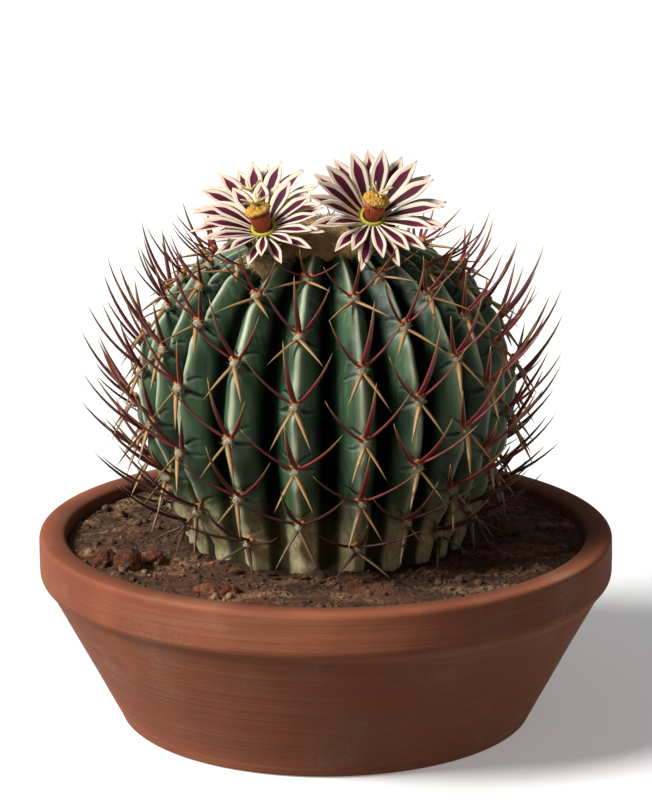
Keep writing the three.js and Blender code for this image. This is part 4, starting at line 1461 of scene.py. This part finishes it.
@dataclass
class CactusStem:
    """The stem's ribbed skin with its creases, and the wool, knobs and spines of its areoles."""

    form: StemForm
    columns: int = 16
    row_step: float = 0.55
    buried_step: float = 4.0
    skirt: float = -3.0
    roundness: float = 0.06
    fullness: float = 0.06
    creases: tuple[tuple[tuple[float, float], ...], ...] = (
        ((2.4, 0.5), (1.6, 0.8), (0.5, 0.12)), ((-0.6, 0.4), (-0.9, 0.6), (0.62, 0.14)))
    crease_start: float = 0.05
    crease_width: tuple[float, float] = (0.3, 0.5)
    crease_depth: float = 0.35
    stroke_reach: float = 6.5
    swell: float = 1.0
    swell_reach: float = 15.0
    swell_place: tuple[float, float] = (5.5, 3.6)
    notch_place: tuple[float, float] = (0.8, 2.0)
    notch_share: float = 0.9
    unevenness: float = 0.14
    pad_size: tuple[float, float, float] = (1.65, 1.85, 1.35)
    pad_drop: float = 0.5
    pad_sink: float = 0.45
    root_spread: float = 1.15
    root_rise: float = 1.1
    root_arch: float = 0.5
    root_sink: float = 0.5
    root_drop: float = 0.7
    knob_size: tuple[float, float, float] = (1.25, 0.98, 0.98)
    old_below: float = 32.0

    def build(self, gardener: Gardener) -> None:
        """Makes the skin, then all that grows on the areoles."""
        self._skin()
        self._areoles(gardener)
        self._spines(gardener)

    def _rows(self) -> list[float]:
        """Lengths along the crest of the rows of the skin, close together where they show."""
        rows = [self.buried_step]
        end = self.form.curve.arcs[-1]
        while rows[-1] < end - self.buried_step:
            point, _ = self.form.curve.at(rows[-1])
            shown = point.y > self.skirt and point.x > self.form.shoulder_radius
            rows.append(rows[-1] + (self.row_step if shown else self.buried_step))
        return rows

    def _skin(self) -> None:
        """Makes the round body, and presses its furrows, creases and swellings."""
        form = self.form
        by_rib = [[a for a in form.areoles if a.rib == rib] for rib in range(form.rib_count)]
        marks = self._crease_marks()
        plan = MeshPlan()
        low, high = form.curve.points[0], form.curve.points[-1]
        still = {"valley": 0.0, "depth": 0.0, "inward": Z_AXIS, "crease": 0.0, "swell": 0.0, "past": 0.0,
                 "beside": 0.0}
        rings = [[plan.point(Vector((0, 0, low.y + form.soil)), height=low.y, **still)]]
        for arc in self._rows():
            point, inward = form.curve.at(arc)
            ring = []
            for rib in range(form.rib_count):
                following = (rib + 1) % form.rib_count
                span = (form.ribs[following] - form.ribs[rib]) % (2 * math.pi)
                for column in range(self.columns):
                    share = column / self.columns
                    angle = form.ribs[rib] + span * share
                    valley = 1 - abs(1 - 2 * share)
                    nearest, side = (rib, 1) if share < 0.5 else (following, -1)
                    past, crease, swell = self._marked(arc, valley, side, by_rib[nearest], marks)
                    ring.append(plan.point(
                        polar(point.x, angle, point.y + form.soil), height=point.y, valley=valley,
                        depth=form.depth(point.x, point.y) * MM, crease=crease, swell=swell, past=past,
                        beside=float(abs(past) < self.stroke_reach),
                        inward=polar(inward.x, angle, inward.y)))
            rings.append(ring)
        rings.append([plan.point(Vector((0, 0, high.y + form.soil)), height=high.y, **still)])
        plan.skin(rings)
        skin = self._press_tree().grow(
            plan.build("round_stem"), "stem_skin", Crest_roundness=self.roundness,
            Flank_fullness=self.fullness, Crease_depth=self.crease_depth * MM, Swelling=self.swell * MM,
            Unevenness=self.unevenness * MM, Material=SkinFinish().material())
        settle(skin, "cactus_skin", "cactus_stem")

    def _marked(self, arc: float, valley: float, side: int, areoles: Sequence[Areole],
                marks: dict[tuple[int, float, int], list[Crease]]) -> tuple[float, float, float]:
        """What the areoles of a rib do to its skin at a place.

        Args:
            arc: The place's length along the crest.
            valley: How far it is from the crest to the furrow, from 0 to 1.
            side: The flank of the rib, 1 or -1.
            areoles: The rib's areoles.
            marks: The creases beside them, by rib, height and side.

        Returns:
            How far the place is past the nearest areole, and how deep the crease and how high the
            swelling is there.
        """
        crease = swell = 0.0
        for areole in areoles:
            past = arc - areole.arc
            if abs(past) < self.swell_reach:
                for mark in marks[areole.rib, areole.height, side]:
                    crease = max(crease, self._crease(past, valley, mark))
                swell += self._swell(past, valley)
        return min((arc - areole.arc for areole in areoles), key=abs), crease, swell

    def _crease_marks(self) -> dict[tuple[int, float, int], list[Crease]]:
        """The start, rise and length of the two creases at each side of each areole, varied a little."""
        random = SeededNumbers(77)
        return {
            (areole.rib, areole.height, side): [
                tuple(usual + random.vary(by) for usual, by in crease) for crease in self.creases
            ]
            for areole in self.form.areoles for side in (-1, 1)
        }

    def _crease(self, past: float, valley: float, mark: Crease) -> float:
        """How deep the short crease beside an areole is at a place.

        Args:
            past: How far the place is above the areole, along the crest.
            valley: How far it is from the crest to the furrow, from 0 to 1.
            mark: The crease's height beside the areole, its rise and its length.

        Returns:
            The depth, from 0 to 1.
        """
        foot, rise, length = mark
        share = (valley - self.crease_start) / length
        if not 0 < share < 1:
            return 0.0
        body = math.sin(math.pi * math.sqrt(share))
        middle = foot + rise * math.sin(share * 2.0)
        thinnest, thickening = self.crease_width
        half = thinnest + thickening * body
        return max(0.0, 1 - ((past - middle) / half) ** 2) * math.sqrt(body)

    def _swell(self, past: float, valley: float) -> float:
        """The swelling of a rib under an areole and the notch at it, near the crest."""
        (under, spread), (over, width) = self.swell_place, self.notch_place
        near = (1 - valley) ** 1.5
        swelling = math.exp(-((past + under) / spread) ** 2)
        notch = math.exp(-((past - over) / width) ** 2)
        return near * (swelling - self.notch_share * notch)

    @staticmethod
    def _press_tree() -> ShapeTree:
        """A tree that presses furrows with rounded crests and full flanks into a round body."""
        tree = ShapeTree("Pressed ribs", Crest_roundness="Float", Flank_fullness="Float",
                         Crease_depth="Float", Swelling="Float", Unevenness="Float")
        given = tree.given
        valley = tree.named("valley")
        rounding = given["Crest roundness"]
        square = tree.math("MULTIPLY", rounding, rounding)
        sloping = tree.math("SQRT", tree.math("MULTIPLY_ADD", valley, valley, square))
        raised = tree.math("SUBTRACT", sloping, rounding)
        whole = tree.math("SUBTRACT", tree.math("SQRT", tree.math("ADD", square, 1.0)), rounding)
        arched = tree.math("SINE", tree.math("MULTIPLY", valley, math.pi))
        bulge = tree.math("MULTIPLY", arched, given["Flank fullness"])
        profile = tree.math("SUBTRACT", tree.math("DIVIDE", raised, whole), bulge)
        furrow = tree.math("MULTIPLY", profile, tree.named("depth"))
        crease = tree.math("MULTIPLY", tree.named("crease"), given["Crease depth"])
        swell = tree.math("MULTIPLY", tree.named("swell"), given["Swelling"])
        inwards = tree.math("SUBTRACT", tree.math("ADD", furrow, crease), swell)
        push = tree.vector("SCALE", tree.named("inward", "FLOAT_VECTOR"), inwards)
        push = tree.vector("ADD", push, tree.cloud(160.0, given["Unevenness"]))
        return tree.close(given["Geometry"], push)

    def _age(self, height: float) -> float:
        """How old the spines at a height look, from 0 to 1."""
        return 1 - smooth_share(self.old_below * 0.35, self.old_below, height)

    def _root(self, areole: Areole, spine: Spine) -> Vector:
        """Where a spine leaves its areole: on an arc over the wool, or at its lower edge."""
        tilt = math.radians(self.form.areole_tilt)
        upward = heading(areole.angle, tilt + math.pi / 2)
        if spine.kind is SpineKind.LOWER:
            return spine.foot - upward * self.root_drop
        across = Vector((-math.sin(areole.angle), math.cos(areole.angle), 0))
        aside = math.sin(spine.way - areole.angle)
        level = across * (aside * self.root_spread)
        rise = upward * (self.root_rise - self.root_arch * abs(aside))
        return spine.foot + level + rise - heading(areole.angle, tilt) * self.root_sink

    def _areoles(self, gardener: Gardener) -> None:
        """Makes the woolly pads with their hairs, and the knobs that the upper spines stand on."""
        pads = MeshPlan()
        knobs = MeshPlan()
        tilt = math.radians(self.form.areole_tilt)
        across, up, out = self.pad_size
        for areole in self.form.areoles:
            face = facing(areole.angle, tilt) @ Matrix.Rotation(math.pi / 2, 3, "Y")
            above = self.form.areole_rise - out * self.pad_sink
            middle = areole.crest + heading(areole.angle, tilt) * above
            middle -= heading(areole.angle, tilt + math.pi / 2) * self.pad_drop
            add_place(pads, middle, face, Vector((up, across, out)), tone=0.3)
            for spine in areole.spines:
                if spine.kind is not SpineKind.LOWER:
                    add_place(knobs, self._root(areole, spine), facing(spine.way, spine.elevation),
                              Vector(self.knob_size), tone=0.4)
        wool = WoolFinish("areole_wool", "77694A", "DCD5BA", 0.7).material()
        pad = gardener.copy("areole_pads", bead_shape(9, 5, 0.1, seed=2, growth=1.0), pads, wool,
                            unevenness=0.35, lump=1.6)
        settle(pad, "wool", "cactus_stem")
        horn = WoolFinish("knob", "94502A", "E8A064", 0.6).material()
        knob = gardener.copy("areole_knobs", bead_shape(7, 3, 0.08, seed=6), knobs, horn)
        settle(knob, "spine", "cactus_stem")
        hairs = gardener.strew("areole_hairs", wool_hair(0.09, 50, 2), pad, wool, per_cm2=150,
                               size=(0.7, 1.5), lean=50, seed=8)
        settle(hairs, "wool", "cactus_stem")

    def _spines(self, gardener: Gardener) -> None:
        """Makes the three kinds of spine."""
        flat = [(-1, 0), (-0.5, -0.55), (0.5, -0.55), (1, 0), (0.5, 0.4), (-0.5, 0.4)]
        upper = [(0, 0.82), (0.1, 1), (0.3, 0.97), (0.55, 0.78), (0.8, 0.45), (0.95, 0.14), (1, 0)]
        slim = [(0, 0.6), (0.16, 1), (0.4, 0.88), (0.7, 0.5), (0.92, 0.14), (1, 0)]
        red = SpineFinish(
            "upper_spine", edge="B4564A", edge_share=0.7, shade="380E16", shade_share=0.5,
            stops=((0.0, "A02834"), (0.12, "8A2030"), (0.4, "6A1E28"), (0.6, "7E402C"), (0.78, "AC7C42"),
                   (1.0, "D8BA76")))
        amber = SpineFinish(
            "lower_spine", edge="D2AC74", edge_share=0.4, shade="6A4522", shade_share=0.65,
            stops=((0.0, "98652F"), (0.25, "BE8E50"), (0.7, "AE8850"), (1.0, "6E5A34")))
        shapes = {
            SpineKind.CENTRAL: (blade_shape(upper, 0.072, flat, 32, 8), red),
            SpineKind.SIDE: (blade_shape(upper, 0.07, flat, 24, 8), red),
            SpineKind.LOWER: (blade_shape(slim, 0.11, flat, -10, 7), amber),
        }
        random = SeededNumbers(31)
        materials = {finish.name: finish.material() for finish in (red, amber)}
        for kind, (shape, finish) in shapes.items():
            places = MeshPlan()
            for areole in self.form.areoles:
                for spine in areole.spines:
                    if spine.kind is kind:
                        add_place(places, self._root(areole, spine), facing(spine.way, spine.elevation),
                                  spine.length, tone=random.next(), age=self._age(areole.height))
            spines = gardener.copy(f"{kind.value}_spines", shape, places, materials[finish.name])
            settle(spines, "spine", "cactus_stem")


# The crown and its blooms


@dataclass
class CrownWool:
    """The cushion of tan wool in the crown, with loose hairs."""

    soil: float
    radius: float = 20.8
    base: float = 85.0
    edge: float = 88.6
    rise: float = 5.2
    rings: int = 34
    sectors: int = 150

    def build(self, gardener: Gardener) -> None:
        """Makes the cushion and its hairs."""
        plan = MeshPlan()
        rings = [[plan.point(Vector((0, 0, self.soil + self.base)), growth=0.0)]]
        for share, height, growth in ((0.9, self.base, 0.0), (1.0, self.base + 2, 0.4)):
            rings.append([plan.point(self._spot(share, i, height), growth=growth)
                          for i in range(self.sectors)])
        for row in range(self.rings):
            share = 1 - row / self.rings
            height = self.edge + self.rise * math.sqrt(1 - share * share)
            rings.append([plan.point(self._spot(share, i, height), growth=1.0)
                          for i in range(self.sectors)])
        rings.append([plan.point(Vector((0, 0, self.soil + self.edge + self.rise)), growth=1.0)])
        plan.skin(rings)
        finish = WoolFinish("crown_wool", *CROWN_WOOL_TONES).material()
        cushion = plan.build("crown_cushion", material=finish)
        settle(cushion, "wool", "crown_wool")
        tan = WoolFinish("crown_hair", *CROWN_HAIR_TONES).material()
        hairs = gardener.strew("crown_hairs", wool_hair(0.05, 60, 3), cushion, tan, per_cm2=330,
                               size=(1.8, 3.6), lean=60, seed=41)
        settle(hairs, "wool", "crown_wool")

    def _spot(self, share: float, sector: int, height: float) -> Vector:
        """A point of the cushion, pushed by its tufts."""
        angle = 2 * math.pi * sector / self.sectors
        spot = polar(self.radius * share * (1 + 0.04 * math.sin(3 * angle)), angle, self.soil + height)
        tuft = noise.fractal(spot * 0.3, 0.9, 2.0, 4)
        return spot + Vector((spot.x * 0.012, spot.y * 0.012, 0.9)) * tuft


@dataclass(frozen=True)
class Lift:
    """A neighbour's push on the tepals: its angle, how far it lifts them, how wide, and how much shorter."""

    towards: float
    by: float
    spread: float
    shorten: float

    def share(self, degrees: float) -> float:
        """How much of the lift a tepal at an angle takes, from 0 to 1."""
        apart = abs((degrees - self.towards + 540) % 360 - 180)
        return max(0.0, 1 - apart / self.spread)


@dataclass(frozen=True)
class Whorl:
    """A ring of tepals: their rise, share of the reach, offset in places, and height of their roots."""

    rise: float
    length: float
    offset: float
    root_height: float


@dataclass
class BloomFinishes:
    """The materials that all blooms share."""

    def __post_init__(self) -> None:
        """Makes each material once."""
        self.tepal = TepalFinish().material()
        self.wool = WoolFinish("collar_wool", *CROWN_WOOL_TONES).material()
        self.hair = WoolFinish("collar_hair", *CROWN_HAIR_TONES).material()
        self.bract = TepalFinish(name="bract", cream="C9B98E", blush="A9A86E", rim="B98C78", throat="7E8A48",
                                 stripe=((0.0, "4A5A2C"), (0.5, "5C3A34"), (1.0, "6E3046")),
                                 back="8E9A62").material()
        self.tube = GradedFinish("flower_tube", ((0.0, "7C8A4A"), (1.0, "A3AE62")), light="C9C98C",
                                 grain=2.0).material()
        self.throat = GradedFinish("throat_ring", ((0.0, "9A9A2C"), (1.0, "C6BE42")),
                                   light="DAD468").material()
        self.filament = GradedFinish("filament", ((0.0, "86261A"), (0.4, "B0402A"), (1.0, "C85C3E")),
                                     light="DE8458", grain=0.6).material()
        self.anther = GradedFinish("anther", ((0.0, "C08424"), (1.0, "DCA840")), light="EEC868",
                                   grain=0.5, roughness=0.8).material()
        self.stigma = GradedFinish("stigma", ((0.0, "C8B060"), (1.0, "E4D28E")), light="EFE2AE",
                                   grain=1.0).material()


# The slot of each part of a bloom, and how the name of its node ends
BLOOM_NODES = {"tepal": "tepals", "filament": "filaments", "anther": "anthers", "stigma": "stigma"}


@dataclass
class Bloom:
    """One open bloom on its tube, in its collar of wool: tepals, throat, filaments, anthers and stigma."""

    name: str
    soil: float
    throat: tuple[float, float, float]
    forward: float
    lean: float
    reach: float
    tepals: int
    seed: int
    column_towards: float
    lifts: tuple[Lift, ...]
    whorls: tuple[Whorl, ...] = (Whorl(25, 0.94, 0, 0), Whorl(17, 1.02, 0.5, -1.5))
    root_radius: float = 4.1
    root_reach: float = 0.8
    width_share: float = 0.235
    variation: tuple[float, float, float] = (2.5, 0.04, 2.0)
    tube_radius: float = 4.2
    tube_length: float = 18.0
    scale_rows: int = 5
    scales_round: int = 9
    scale_foot: float = -15.0
    scale_band: float = 8.5
    scale_size: tuple[float, float] = (4.2, 2.6)
    scale_rise: float = 80.0
    collar_foot: tuple[float, float] = (6.6, -15.0)
    collar_top: tuple[float, float] = (4.4, -7.0)
    collar_rings: int = 9
    collar_sides: int = 40
    column_foot: float = 1.75
    column_top: float = 3.2
    column_height: float = 5.0
    column_sink: float = 2.2
    column_knee: float = 1.0
    column_bend: float = 20.0
    threads: int = 40
    thread_width: float = 0.44
    thread_variation: tuple[float, float, float] = (0.03, 0.12, 0.03)
    head_gap: float = 0.3
    head_radius: float = 3.6
    head_height: float = 1.4
    grains: int = 120
    grain_size: tuple[float, float, float] = (0.74, 0.54, 0.54)
    grain_sink: float = 0.35
    lobes: int = 8
    lobe_size: tuple[float, float] = (4.6, 0.55)
    lobe_rise: float = 30.0
    lobe_variation: tuple[float, float, float] = (0.25, 10.0, 0.6)
    widths: tuple[float, float] = (0.94, 0.16)

    def __post_init__(self) -> None:
        """Works out how the bloom is turned and where its throat is."""
        forward, lean = math.radians(self.forward), math.radians(self.lean)
        axis = Vector((math.sin(lean), -math.sin(forward) * math.cos(lean),
                       math.cos(forward) * math.cos(lean)))
        self._turn = Z_AXIS.rotation_difference(axis).to_matrix()
        self._origin = Vector(self.throat) + Vector((0, 0, self.soil))
        towards = math.radians(self.column_towards)
        self._bend = Matrix.Rotation(math.radians(self.column_bend), 3,
                                     Vector((-math.sin(towards), math.cos(towards), 0)))

    def build(self, gardener: Gardener, finishes: BloomFinishes) -> None:
        """Makes every part of the bloom."""
        self._make_tepals(gardener, finishes)
        self._make_tube(gardener, finishes)
        self._make_collar(gardener, finishes)
        self._make_column(gardener, finishes)
        self._make_head(gardener, finishes)

    def _settle(self, piece: bpy.types.Object, slot: str) -> None:
        """Settles a piece of the bloom for the node that has its slot."""
        settle(piece, slot, f"bloom_{self.name}_{BLOOM_NODES[slot]}")

    def _body(self, part: str, plan: MeshPlan, material: bpy.types.Material, slot: str) -> None:
        """Builds a body of the bloom from a plan that is in place, and settles it."""
        self._settle(plan.build(f"bloom_{self.name}_{part}", material=material), slot)

    def _set(self, places: MeshPlan, where: Vector, turn: Matrix, size: float | Vector,
             **values: float) -> None:
        """Adds a place that is given along the bloom's own axis."""
        add_place(places, self._origin + self._turn @ where, self._turn @ turn, size, **values)

    def _placed(self, plan: MeshPlan) -> MeshPlan:
        """A plan along the bloom's own axis, carried to where the bloom is."""
        return MeshPlan([self._origin + self._turn @ p for p in plan.points], plan.faces, plan.values)

    def _bent(self, where: Vector) -> Vector:
        """A place on the column, moved by its bend if it is above the knee."""
        knee = Vector((0, 0, self.column_knee))
        return knee + self._bend @ (where - knee) if where.z > knee.z else where

    def _set_bent(self, places: MeshPlan, where: Vector, turn: Matrix, size: float | Vector,
                  **values: float) -> None:
        """Adds a place on the bent column."""
        self._set(places, self._bent(where), self._bend @ turn, size, **values)

    def _placed_bent(self, plan: MeshPlan) -> MeshPlan:
        """A plan of the column, bent and then carried to where the bloom is."""
        return self._placed(MeshPlan([self._bent(p) for p in plan.points], plan.faces, plan.values))

    def _make_tepals(self, gardener: Gardener, finishes: BloomFinishes) -> None:
        """Makes the two whorls of tepals, with the same draws as the solid ones."""
        random = SeededNumbers(self.seed)
        turn_by, length_by, rise_by = self.variation
        places = MeshPlan()
        for whorl in self.whorls:
            for i in range(self.tepals):
                degrees = (i + whorl.offset) * 360 / self.tepals + random.vary(turn_by)
                lift = sum(one.share(degrees) * one.by for one in self.lifts)
                kept = 1 - sum(one.share(degrees) * one.shorten for one in self.lifts)
                grown = whorl.length * (1 + random.vary(length_by))
                length = (self.reach - self.root_radius) * grown * kept
                rise = math.radians(whorl.rise + lift + random.vary(rise_by))
                angle = math.radians(degrees)
                wide = self.reach * self.width_share * (self.widths[0] + self.widths[1] * math.sin(angle))
                root = polar(self.root_radius, angle, whorl.root_height)
                root -= heading(angle, rise) * self.root_reach
                length += self.root_reach
                self._set(places, root, facing(angle, rise), Vector((length, wide, length)),
                          tone=random.next() * 9)
        shape = tepal_shape(width=1.0, channel=0.05, recurve=0.05, thickness=0.02)
        tepals = gardener.copy(f"bloom_{self.name}_petal_whorls", shape, places, finishes.tepal,
                               unevenness=0.35, lump=9)
        self._settle(tepals, "tepal")

    def _make_tube(self, gardener: Gardener, finishes: BloomFinishes) -> None:
        """Makes the tube, its scales and the fleshy ring in the throat."""
        radius, length = self.tube_radius, self.tube_length
        outline = [(0, -length), (radius * 0.8, -length), (radius * 0.9, -length * 0.9),
                   (radius, -length / 2), (radius, -4), (radius * 1.08, -3.2), (radius * 1.12, -2.2),
                   (radius, -1.4), (3.4, -1), (2.9, -1.6), (0, -2)]
        tube = lathe(outline, 48)
        tube.fill(tone=0.0)
        tube.values["along"] = [smooth_share(-length, 0, p.z) for p in tube.points]
        self._body("tube", self._placed(tube), finishes.tube, "tepal")
        inner, outer = 2.3, 3.5
        ring = lathe([(0, -1.4), (3.1, -1.4), (3.55, -0.5), (outer, 0.2), (3.2, 0.5), (2.8, 0.35),
                      (2.5, -0.3), (inner, -0.9), (0, -1.1)], 60)
        ring.fill(tone=0.0)
        ring.values["along"] = [smooth_share(inner, outer, math.hypot(p.x, p.y)) for p in ring.points]
        self._body("throat", self._placed(ring), finishes.throat, "tepal")
        random = SeededNumbers(self.seed + 100)
        places = MeshPlan()
        least_long, least_wide = self.scale_size
        for row in range(self.scale_rows):
            share = row / (self.scale_rows - 1)
            for i in range(self.scales_round):
                angle = 2 * math.pi * (i + row / 2) / self.scales_round + random.vary(0.1)
                height = self.scale_foot + self.scale_band * share
                long, wide = least_long + 1.5 * share, least_wide + share
                rise = math.radians(self.scale_rise - 30 * share + random.vary(4))
                self._set(places, polar(radius * 0.96, angle, height), facing(angle, rise),
                          Vector((long, wide, long)), tone=random.next() * 9)
        shape = tepal_shape(width=1.0, channel=0.12, recurve=-0.04, thickness=0.06, rows=8)
        scales = gardener.copy(f"bloom_{self.name}_scales", shape, places, finishes.bract)
        self._settle(scales, "tepal")

    def _make_collar(self, gardener: Gardener, finishes: BloomFinishes) -> None:
        """Makes the wool that the tube comes up through, a mound that is steepest at its foot."""
        (wide, low), (slim, high) = self.collar_foot, self.collar_top
        shares = [ring / (self.collar_rings - 1) for ring in range(self.collar_rings)]
        slope = [(wide + (slim - wide) * share, low + (high - low) * share ** 0.7) for share in shares]
        mound = lathe([(0, low), *slope, (0, high)], self.collar_sides)
        mound.fill(growth=1.0, tone=0.4)
        wool = self._placed(mound).build(f"bloom_{self.name}_collar", material=finishes.wool)
        settle(wool, "wool", "crown_wool")
        hairs = gardener.strew(f"bloom_{self.name}_collar_hairs", wool_hair(0.05, 60, 3), wool,
                               finishes.hair, per_cm2=330, size=(1.6, 3.2), lean=55, seed=self.seed + 400)
        settle(hairs, "wool", "crown_wool")

    def _make_column(self, gardener: Gardener, finishes: BloomFinishes) -> None:
        """Makes the sheaf of filaments round a slim core."""
        foot, top = -self.column_sink, self.column_height
        thread = blade_shape([(0, 1), (0.97, 0.9), (1, 0)], 1.0, round_section(5), 0, 5)
        places = MeshPlan()
        random = SeededNumbers(self.seed + 200)
        turn_by, foot_by, length_by = self.thread_variation
        wide = self.thread_width
        for i in range(self.threads):
            angle = 2 * math.pi * i / self.threads + random.vary(turn_by)
            start = polar(self.column_foot + random.vary(foot_by), angle, foot)
            run = self._bent(polar(self.column_top, angle, top * (1 + random.vary(length_by)))) - start
            turn = facing(math.atan2(run.y, run.x), math.asin(run.z / run.length))
            self._set(places, start, turn, Vector((run.length, wide, wide)), tone=random.next())
        threads = gardener.copy(f"bloom_{self.name}_threads", thread, places, finishes.filament)
        self._settle(threads, "filament")
        core = lathe([(0, foot), (self.column_foot, foot), (self.column_top, top), (0, top)], 40)
        core.fill(tone=0.0)
        core.values["along"] = [smooth_share(foot, top, p.z) * 0.5 for p in core.points]
        self._body("core", self._placed_bent(core), finishes.filament, "filament")

    def _make_head(self, gardener: Gardener, finishes: BloomFinishes) -> None:
        """Makes the dome of anthers, and the style with its lobes."""
        random = SeededNumbers(self.seed + 300)
        base = self.column_height + self.head_gap
        grains = MeshPlan()
        golden = math.pi * (3 - math.sqrt(5))
        for i in range(self.grains):
            fall = math.acos(1 - 1.06 * (i + 0.5) / self.grains)
            radius = (self.head_radius - self.grain_sink) * math.sin(fall)
            height = base + self.grain_sink + (self.head_height - 0.5) * math.cos(fall) + random.vary(0.16)
            angle = golden * i
            self._set_bent(grains, polar(radius, angle, height), facing(angle, random.vary(1.2)),
                           Vector(self.grain_size), tone=random.next(), along=random.next())
        pollen = gardener.copy(f"bloom_{self.name}_pollen", bead_shape(6, 3), grains, finishes.anther)
        self._settle(pollen, "anther")
        dome = lathe([(0, base - 0.2), (self.column_top - 0.1, base - 0.2),
                      (self.head_radius - 0.4, base + 0.2), (self.head_radius - 0.9, base + 0.8),
                      (1.6, base + 1.2), (0, base + 1.3)], 32)
        dome.fill(along=0.0, tone=0.0)
        self._body("head", self._placed_bent(dome), finishes.anther, "anther")
        top = base + self.head_height + 1.0
        parts = MeshPlan()
        self._set_bent(parts, Vector((0, 0, base + 1)), facing(0, math.pi / 2),
                       Vector((top - base - 0.8, 1.0, 1.0)), tone=0.0)
        long, wide = self.lobe_size
        turn_by, rise_by, length_by = self.lobe_variation
        for i in range(self.lobes):
            angle = 2 * math.pi * i / self.lobes + random.vary(turn_by)
            rise = math.radians(self.lobe_rise + random.vary(rise_by))
            self._set_bent(parts, Vector((0, 0, top)), facing(angle, rise),
                           Vector((long + random.vary(length_by), wide, wide)), tone=random.next())
        lobe = blade_shape([(0, 1), (0.75, 0.95), (0.95, 0.7), (1, 0)], 1.0, round_section(6), 0, 6)
        style = gardener.copy(f"bloom_{self.name}_style", lobe, parts, finishes.stigma, unevenness=0.5,
                              lump=2.2)
        self._settle(style, "stigma")


def blooms(soil: float) -> list[Bloom]:
    """The three blooms, as the solid ones stand."""
    return [
        Bloom("right", soil, throat=(13.2, -18, 99.8), forward=40, lean=3, reach=22, tepals=13, seed=5,
              column_towards=65, lifts=(Lift(190, 17, 75, 0.05), Lift(270, -8, 50, 0.11))),
        Bloom("left_front", soil, throat=(-17.6, -24, 97.6), forward=32, lean=-9, reach=19, tepals=12,
              seed=9, column_towards=115,
              lifts=(Lift(0, -14, 60, 0.1), Lift(90, -10, 100, 0.05), Lift(214, 6, 50, 0))),
        Bloom("left_rear", soil, throat=(-20, 12, 94.5), forward=28, lean=-12, reach=21, tepals=12,
              seed=14, column_towards=100, lifts=(Lift(270, 24, 80, 0.1),)),
    ]


def main() -> None:
    """Builds the potted plant and its studio, piece by piece."""
    logging.basicConfig(level=logging.INFO, format="%(message)s")
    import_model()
    root_tip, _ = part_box("cactus_stem")
    soil = root_tip.z / MM - StemForm.crest_line[0][1]
    _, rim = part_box("pot")
    Studio(aim=Vector((0, 0, soil + AIM_HEIGHT))).build()
    gardener = Gardener()
    pan = ClayPan(rim_radius=rim.x / MM, height=rim.z / MM)
    pan.build()
    SoilBed(level=soil, pan=pan).build(gardener)
    Clods().build()
    CactusStem(StemForm(soil)).build(gardener)
    CrownWool(soil).build(gardener)
    finishes = BloomFinishes()
    for bloom in blooms(soil):
        bloom.build(gardener, finishes)


if __name__ == "__main__":
    main()
